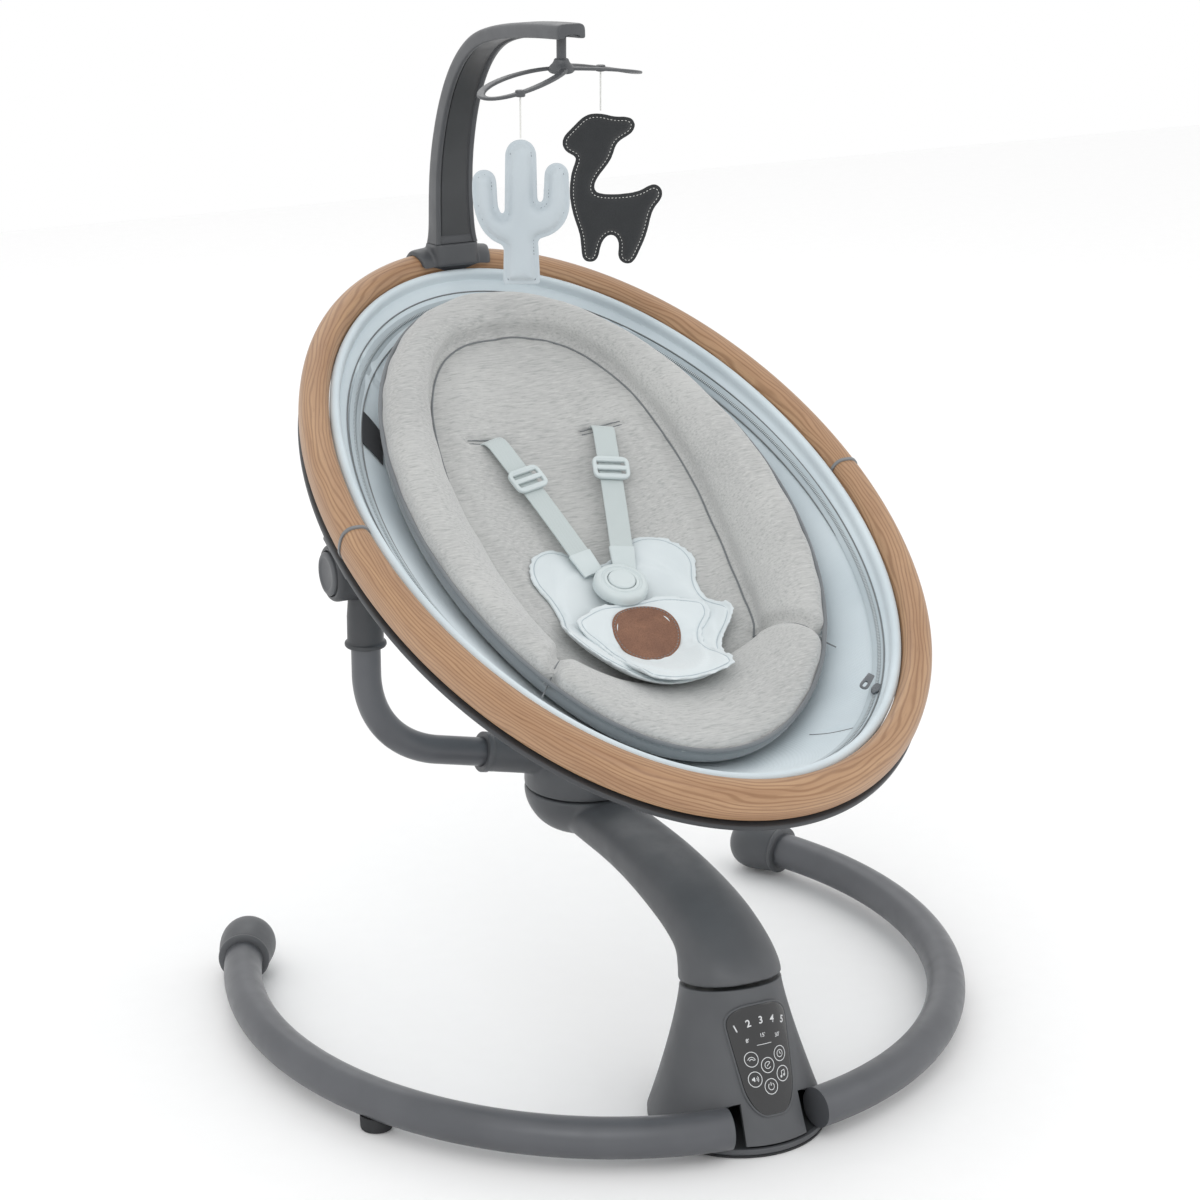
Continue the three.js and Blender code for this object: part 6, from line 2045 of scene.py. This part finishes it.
def toy_bar_clip():
    """A saddle over the rim with a raised seat for the arch, hollowed to fit the wood."""
    wrap = np.concatenate([[0.94, 0.99], np.ones(36), [0.99, 0.94]])[:, None, None]
    outer = oval(SEAT["wood_wide"] + 10, SEAT["wood_high"] + 9, 2.6, 72)
    saddle = grid_object("saddle", from_seat(swept(rim_path(-9, 9, 40), outer[None] * wrap, UP)))
    top = np.array([0, ARCH["y"], ARCH["z"]])
    path = top - arch_axis * np.linspace(22, 0, 12)[:, None]
    seat_grid = swept(path, oval(36, 48, 4.5, 64), (1, 0, 0))
    clip = melted("clip_moulding", [saddle, grid_object("pad", world(seat_grid))], 0.0012, 8)
    wood_tool = grid_object("tool", from_seat(swept(rim_path(-14, 14, 60), oval(
        SEAT["wood_wide"] + 0.8, SEAT["wood_high"] + 0.8, 2.6, 64), UP)))
    inner = SEAT["half_y"] - SEAT["wood_wide"] / 2 - 0.4
    cut_out(clip, wood_tool, box_tool(200, 60, 70, (0, inner - 30, -20)),
            box_tool(200, 60, 60, (0, SEAT["half_y"] - 34, -28)),
            box_tool(200, 120, 40, (0, SEAT["half_y"], -SEAT["wood_high"] / 2 - 18)))
    return finish(clip, "seat", "toy_bar_plastic", bar_plastic, "toy_bar_clip", sharp=38)


toy_arch()
clip = toy_bar_clip()
print("arch and clip, clip with", len(clip.data.polygons), "faces")

# %% [markdown]
# The hanger turns on a pin in the arch's tip. Its two loops are flat bands along a drooping closed curve.

# %% Hanger
HANGER = {"y": 95, "z": 899, "pin": 4.5, "pin_top": 29, "reach": 104, "across": 27, "turn": 25, "drop": 15}
STRING = {"radius": 0.75, "length": 38, "along": 83}


def loop_line(angle):
    """The middle of a hanger loop's band, from the pin (angle 0) out to its tip (pi) and back."""
    along = HANGER["reach"] / 2 * (1 - np.cos(angle))
    across = HANGER["across"] * np.sin(angle) * (0.55 + 0.45 * np.sin(angle / 2))
    return np.stack([along, across, -4 - HANGER["drop"] * (along / HANGER["reach"]) ** 1.5], -1)


string_angle = math.acos(1 - 2 * STRING["along"] / HANGER["reach"])
string_spot = turn_about("Z", HANGER["turn"]) @ loop_line(string_angle)
string_top = HANGER["z"] + string_spot[2] - 2.2


def on_hanger(points):
    return world(moved(points, (0, HANGER["y"], HANGER["z"])))


def make_hanger():
    pin = rounded([[0.01, -6], [HANGER["pin"], -6], [HANGER["pin"], HANGER["pin_top"]],
                   [0.01, HANGER["pin_top"]]], 0.4)
    hub = rounded([[0.01, -8.5], [10, -8.5], [13, -5.5], [11.5, -2.5], [7.5, 1.5], [6.5, 5], [0.01, 5.5]],
                  [0, 2, 2, 1.5, 2.5, 1.5, 0], 6)
    parts = [grid_object("pin", on_hanger(turned(pin, 40))), grid_object("hub", on_hanger(turned(hub, 64)))]
    angle = np.linspace(0, 2 * np.pi, 160, endpoint=False)
    for half_turn in (0, 180):
        turn = turn_about("Z", half_turn + HANGER["turn"])
        band = swept(loop_line(angle), oval(7.6, 3.2, 3, 24), UP, True)
        parts.append(grid_object("loop", on_hanger(moved(band, turn=turn)), (True, True)))
        eye = turned(rounded([[0.01, -3.2], [4.4, -3.2], [4.8, 0], [4.4, 2.6], [0.01, 2.8]], 0.8), 32)
        spot = turn @ loop_line(string_angle)
        parts.append(grid_object("eye", on_hanger(moved(eye, spot))))
    hanger = joined("hanger_loops", parts)
    return finish(hanger, "hanger", "toy_bar_plastic", bar_plastic, "toy_hanger", sharp=45)


make_hanger()
print("hanger reaches", HANGER["reach"], "mm")

# %% [markdown]
# ## The two strings
# The toys hang on thin twisted cotton threads, 38 mm long from the hanger's loop to the toy. A thread this
# short hangs straight, so it is a round section carried down a plain line.

# %% Strings
def make_string(word, side):
    """A straight thread that hangs from the hanger."""
    count = 13
    drops = np.linspace(0, STRING["length"], count)
    line = np.column_stack([np.full(count, side * string_spot[0]),
                            np.full(count, HANGER["y"] + side * string_spot[1]), string_top - drops])
    round_section = oval(2 * STRING["radius"], 2 * STRING["radius"], sides=16)
    thread = grid_object(f"{word}_thread", world(swept(line, round_section, (1, 0, 0))))
    finish(thread, word, "thread", white_thread, f"{word}_string", sharp=60)


for word, side in (("cactus", -1), ("animal", 1)):
    make_string(word, side)
print("two strings of", STRING["length"] * MM, "m")

# %% [markdown]
# ## The toys
# Each toy is cut twice from one outline, sewn a few millimetres inside its edge and stuffed. So its half
# thickness depends on the distance to the outline: thin at the flange, then rising like a quarter circle.
# A flat slab is remeshed, shaped by that rule, and swollen with air while the flange is held.

# %% Outlines
TOY = {"cactus": 132, "turn": -26, "half_slab": 3.0}
toy_top = string_top - STRING["length"] - 0.6


def turn_arc(centre, radius, first, last, count=14):
    return arc(radius, first, last, centre, count)


def cactus_outline():
    h = TOY["cactus"]
    parts = [line((-17, -h), (17, -h), (15, 42 - h)),
             bezier([[15, 42 - h], [32, 44 - h], [44, 56 - h], [44, 76 - h]], 16),
             line((44, 76 - h), (43, 96 - h)), turn_arc((32, 100 - h), 11, 0, 180),
             line((21, 100 - h), (20, 78 - h)), bezier([[20, 78 - h], [20, 73 - h], [15, 71 - h],
                                                        [14.8, 78 - h]], 8),
             line((14.6, 80 - h), (14, -14)), turn_arc((0, -14), 14, 0, 180),
             line((-14, -14), (-15, 66 - h)), bezier([[-15, 66 - h], [-16, 60 - h], [-20, 64 - h],
                                                      [-21, 74 - h]], 8),
             line((-21, 74 - h), (-22, 92 - h)), turn_arc((-33, 94 - h), 11, 0, 180),
             bezier([[-44, 92 - h], [-45, 60 - h], [-34, 40 - h], [-16, 36 - h]], 16),
             line((-16, 36 - h), (-17, -h))]
    return np.vstack(parts)


def animal_outline():
    points = [[-2, -1], [-14, -2], [-24, -12], [-28, -18], [-36, -22], [-38, -34], [-30, -42], [-20, -41],
              [-28, -56], [-30, -80], [-26, -100], [-19, -118], [-18, -145], [-2, -145], [0, -124],
              [10, -114], [19, -122], [15, -143], [30, -149], [44, -118], [50, -90], [60, -84], [60, -72],
              [50, -66], [43, -72], [39, -76], [16, -79], [-8, -78], [-6, -66], [12, -44], [14, -28],
              [26, -24], [34, -18], [34, -8], [26, -3], [14, -7], [8, -3]]
    return np.asarray(points, dtype=float)


def flat_slab(name, loop, half):
    """A slab from a closed outline, filled by a 2D curve and given a thickness."""
    curve = bpy.data.curves.new("outline", "CURVE")
    curve.dimensions = "2D"
    curve.fill_mode = "BOTH"
    curve.extrude = half * MM
    part = curve.splines.new("POLY")
    part.points.add(len(loop) - 1)
    flat = np.column_stack([loop * MM, np.zeros(len(loop)), np.ones(len(loop))])
    part.points.foreach_set("co", flat.ravel())
    part.use_cyclic_u = True
    holder = bpy.data.objects.new("outline", curve)
    bpy.context.scene.collection.objects.link(holder)
    shown = holder.evaluated_get(bpy.context.evaluated_depsgraph_get())
    obj = bpy.data.objects.new(name, bpy.data.meshes.new_from_object(shown))
    bpy.context.scene.collection.objects.link(obj)
    bpy.data.objects.remove(holder)
    weld = obj.modifiers.new("weld", "WELD")
    weld.merge_threshold = 0.00001
    return apply_modifiers(obj)


def stuffing(inside, thick, flange, rise):
    """Half thickness at a distance inside the outline."""
    k = np.clip((inside - flange) / rise, 0, 1)
    return 1.3 + (thick / 2 - 1.3) * np.sqrt(1 - (1 - k) ** 2)


def on_toy(points, side):
    """From a toy's own plane (across, height, depth) to its place under the hanger."""
    points = np.asarray(points, dtype=float)
    upright = np.stack([points[..., 0], -points[..., 2], points[..., 1]], -1)
    spot = (side * string_spot[0], HANGER["y"] + side * string_spot[1], toy_top)
    return world(moved(upright, spot, turn_about("Z", TOY["turn"])))


def stuffed_toy(name, word, side, loop, thick, flange, rise, slot, cloth, thread, seam_in, size, pitch, gap):
    obj = flat_slab(name, loop, TOY["half_slab"])
    even_skin(obj, 1.7)
    flat = mesh_points(obj) / MM
    inside = nearest(flat[:, :2], loop)
    flat[:, 2] *= stuffing(inside, thick, flange, rise) / TOY["half_slab"]
    groove_in = groove(0.8, 1.6, inside - seam_in)
    flat[:, 2] -= np.sign(flat[:, 2]) * groove_in * (np.abs(flat[:, 2]) > 0.5)
    set_points(obj, on_toy(flat, side))
    swollen(obj, inside < flange + 1.5, 1.8)
    subdivided(obj)
    finish(obj, word, slot, cloth, f"{word}_toy", sharp=None)
    seam = inset(loop, seam_in)
    seam = seam[nearest(seam, loop) > seam_in * 0.9]
    half = stuffing(np.full(len(seam), seam_in), thick, flange, rise) + 0.1
    away = turn_about("Z", TOY["turn"]) @ np.array([0, -1.0, 0])
    for face, out in (("front", 1), ("back", -1)):
        path = on_toy(np.column_stack([seam, out * half]), side)
        dashes(f"{word}_stitches_{face}", path, size * MM, pitch * MM, gap * MM, word, slot, thread,
               out * away)
    return obj


cactus_loop = even_loop(cactus_outline(), 420, 6)
animal_loop = even_loop(animal_outline(), 460, 60)
cactus = stuffed_toy("stuffed_cactus", "cactus", -1, cactus_loop, 17, 4.6, 9, "toy_fabric_pale", cactus_cloth,
                     dark_thread, 4.6, 0.8, 3.2, 0.7)
animal = stuffed_toy("stuffed_animal", "animal", 1, animal_loop, 11, 3.6, 12, "toy_fabric_dark", animal_felt,
                     white_thread, 3.6, 0.7, 3.4, 1.3)
print("toys have", len(cactus.data.polygons), "and", len(animal.data.polygons), "faces")

# %% [markdown]
# ## Inside
# The housing hides the motor, gears, shaft, bearings, board and speaker, and the hub hides its bearing. They
# keep their plain shapes, and each takes its finish.

# %% Hidden parts
INSIDE = ((steel, ("swing_shaft", "shaft_bearing_upper", "shaft_bearing_lower", "drive_motor")),
          (gear_plastic, ("sector_gear", "motor_pinion", "turntable_bearing")),
          (dark_plastic, ("drive_frame", "speaker")),
          (board_green, ("control_board",)))
for material, nodes in INSIDE:
    for node in nodes:
        parts = frame["nodes"][node].data.materials
        parts.clear()
        parts.append(material)
print("hidden parts finished:", sum(len(nodes) for _, nodes in INSIDE))

# %% [markdown]
# ## The stage
# A plain pale floor and a white room with soft light from all round: a broad key from the front left, a
# weaker fill from the right and a light from behind that picks out the edges.

# %% Floor and lights
def area_light(name, spot, size, power, aim):
    data = bpy.data.lights.new(name, "AREA")
    data.shape = "RECTANGLE"
    data.size, data.size_y = size
    data.energy = power
    light = bpy.data.objects.new(name, data)
    away = (Vector(spot) - Vector(aim)).to_track_quat("Z", "Y")
    light.matrix_world = Matrix.Translation(Vector(spot)) @ away.to_matrix().to_4x4()
    bpy.context.scene.collection.objects.link(light)
    return light


def floor():
    extent = 4000
    grid = np.array([[[x, y, -0.4] for x in (-extent, extent)] for y in (-extent, extent)], dtype=float)
    ground = grid_object("floor", world(grid), (False, False), False)
    material, tree, shader = start("pale_floor", Roughness=0.6)
    speckle = noise(tree, object_place(tree), 40, 2)
    wire(tree, shader, Base_Color=mixed(tree, speckle, srgb(250, 250, 250), srgb(253, 253, 253)))
    ground.data.materials.append(material)
    return ground


room = bpy.data.worlds.new("white_room")
room.use_nodes = True
room.node_tree.nodes["Background"].inputs["Color"].default_value = (1, 1, 1, 1)
room.node_tree.nodes["Background"].inputs["Strength"].default_value = 1.0
bpy.context.scene.world = room
bpy.context.scene.view_settings.view_transform = "Standard"
lights = [area_light("key", (-1.6, -2.2, 2.6), (1.6, 1.6), 16, (0, 0, 0.4)),
          area_light("fill", (2.4, -1.4, 1.6), (1.8, 1.8), 5, (0, 0, 0.4)),
          area_light("rim", (0.6, 2.4, 2.4), (1.8, 1.2), 8, (0, 0, 0.5))]
floor()
print("lights:", [light.name for light in lights])
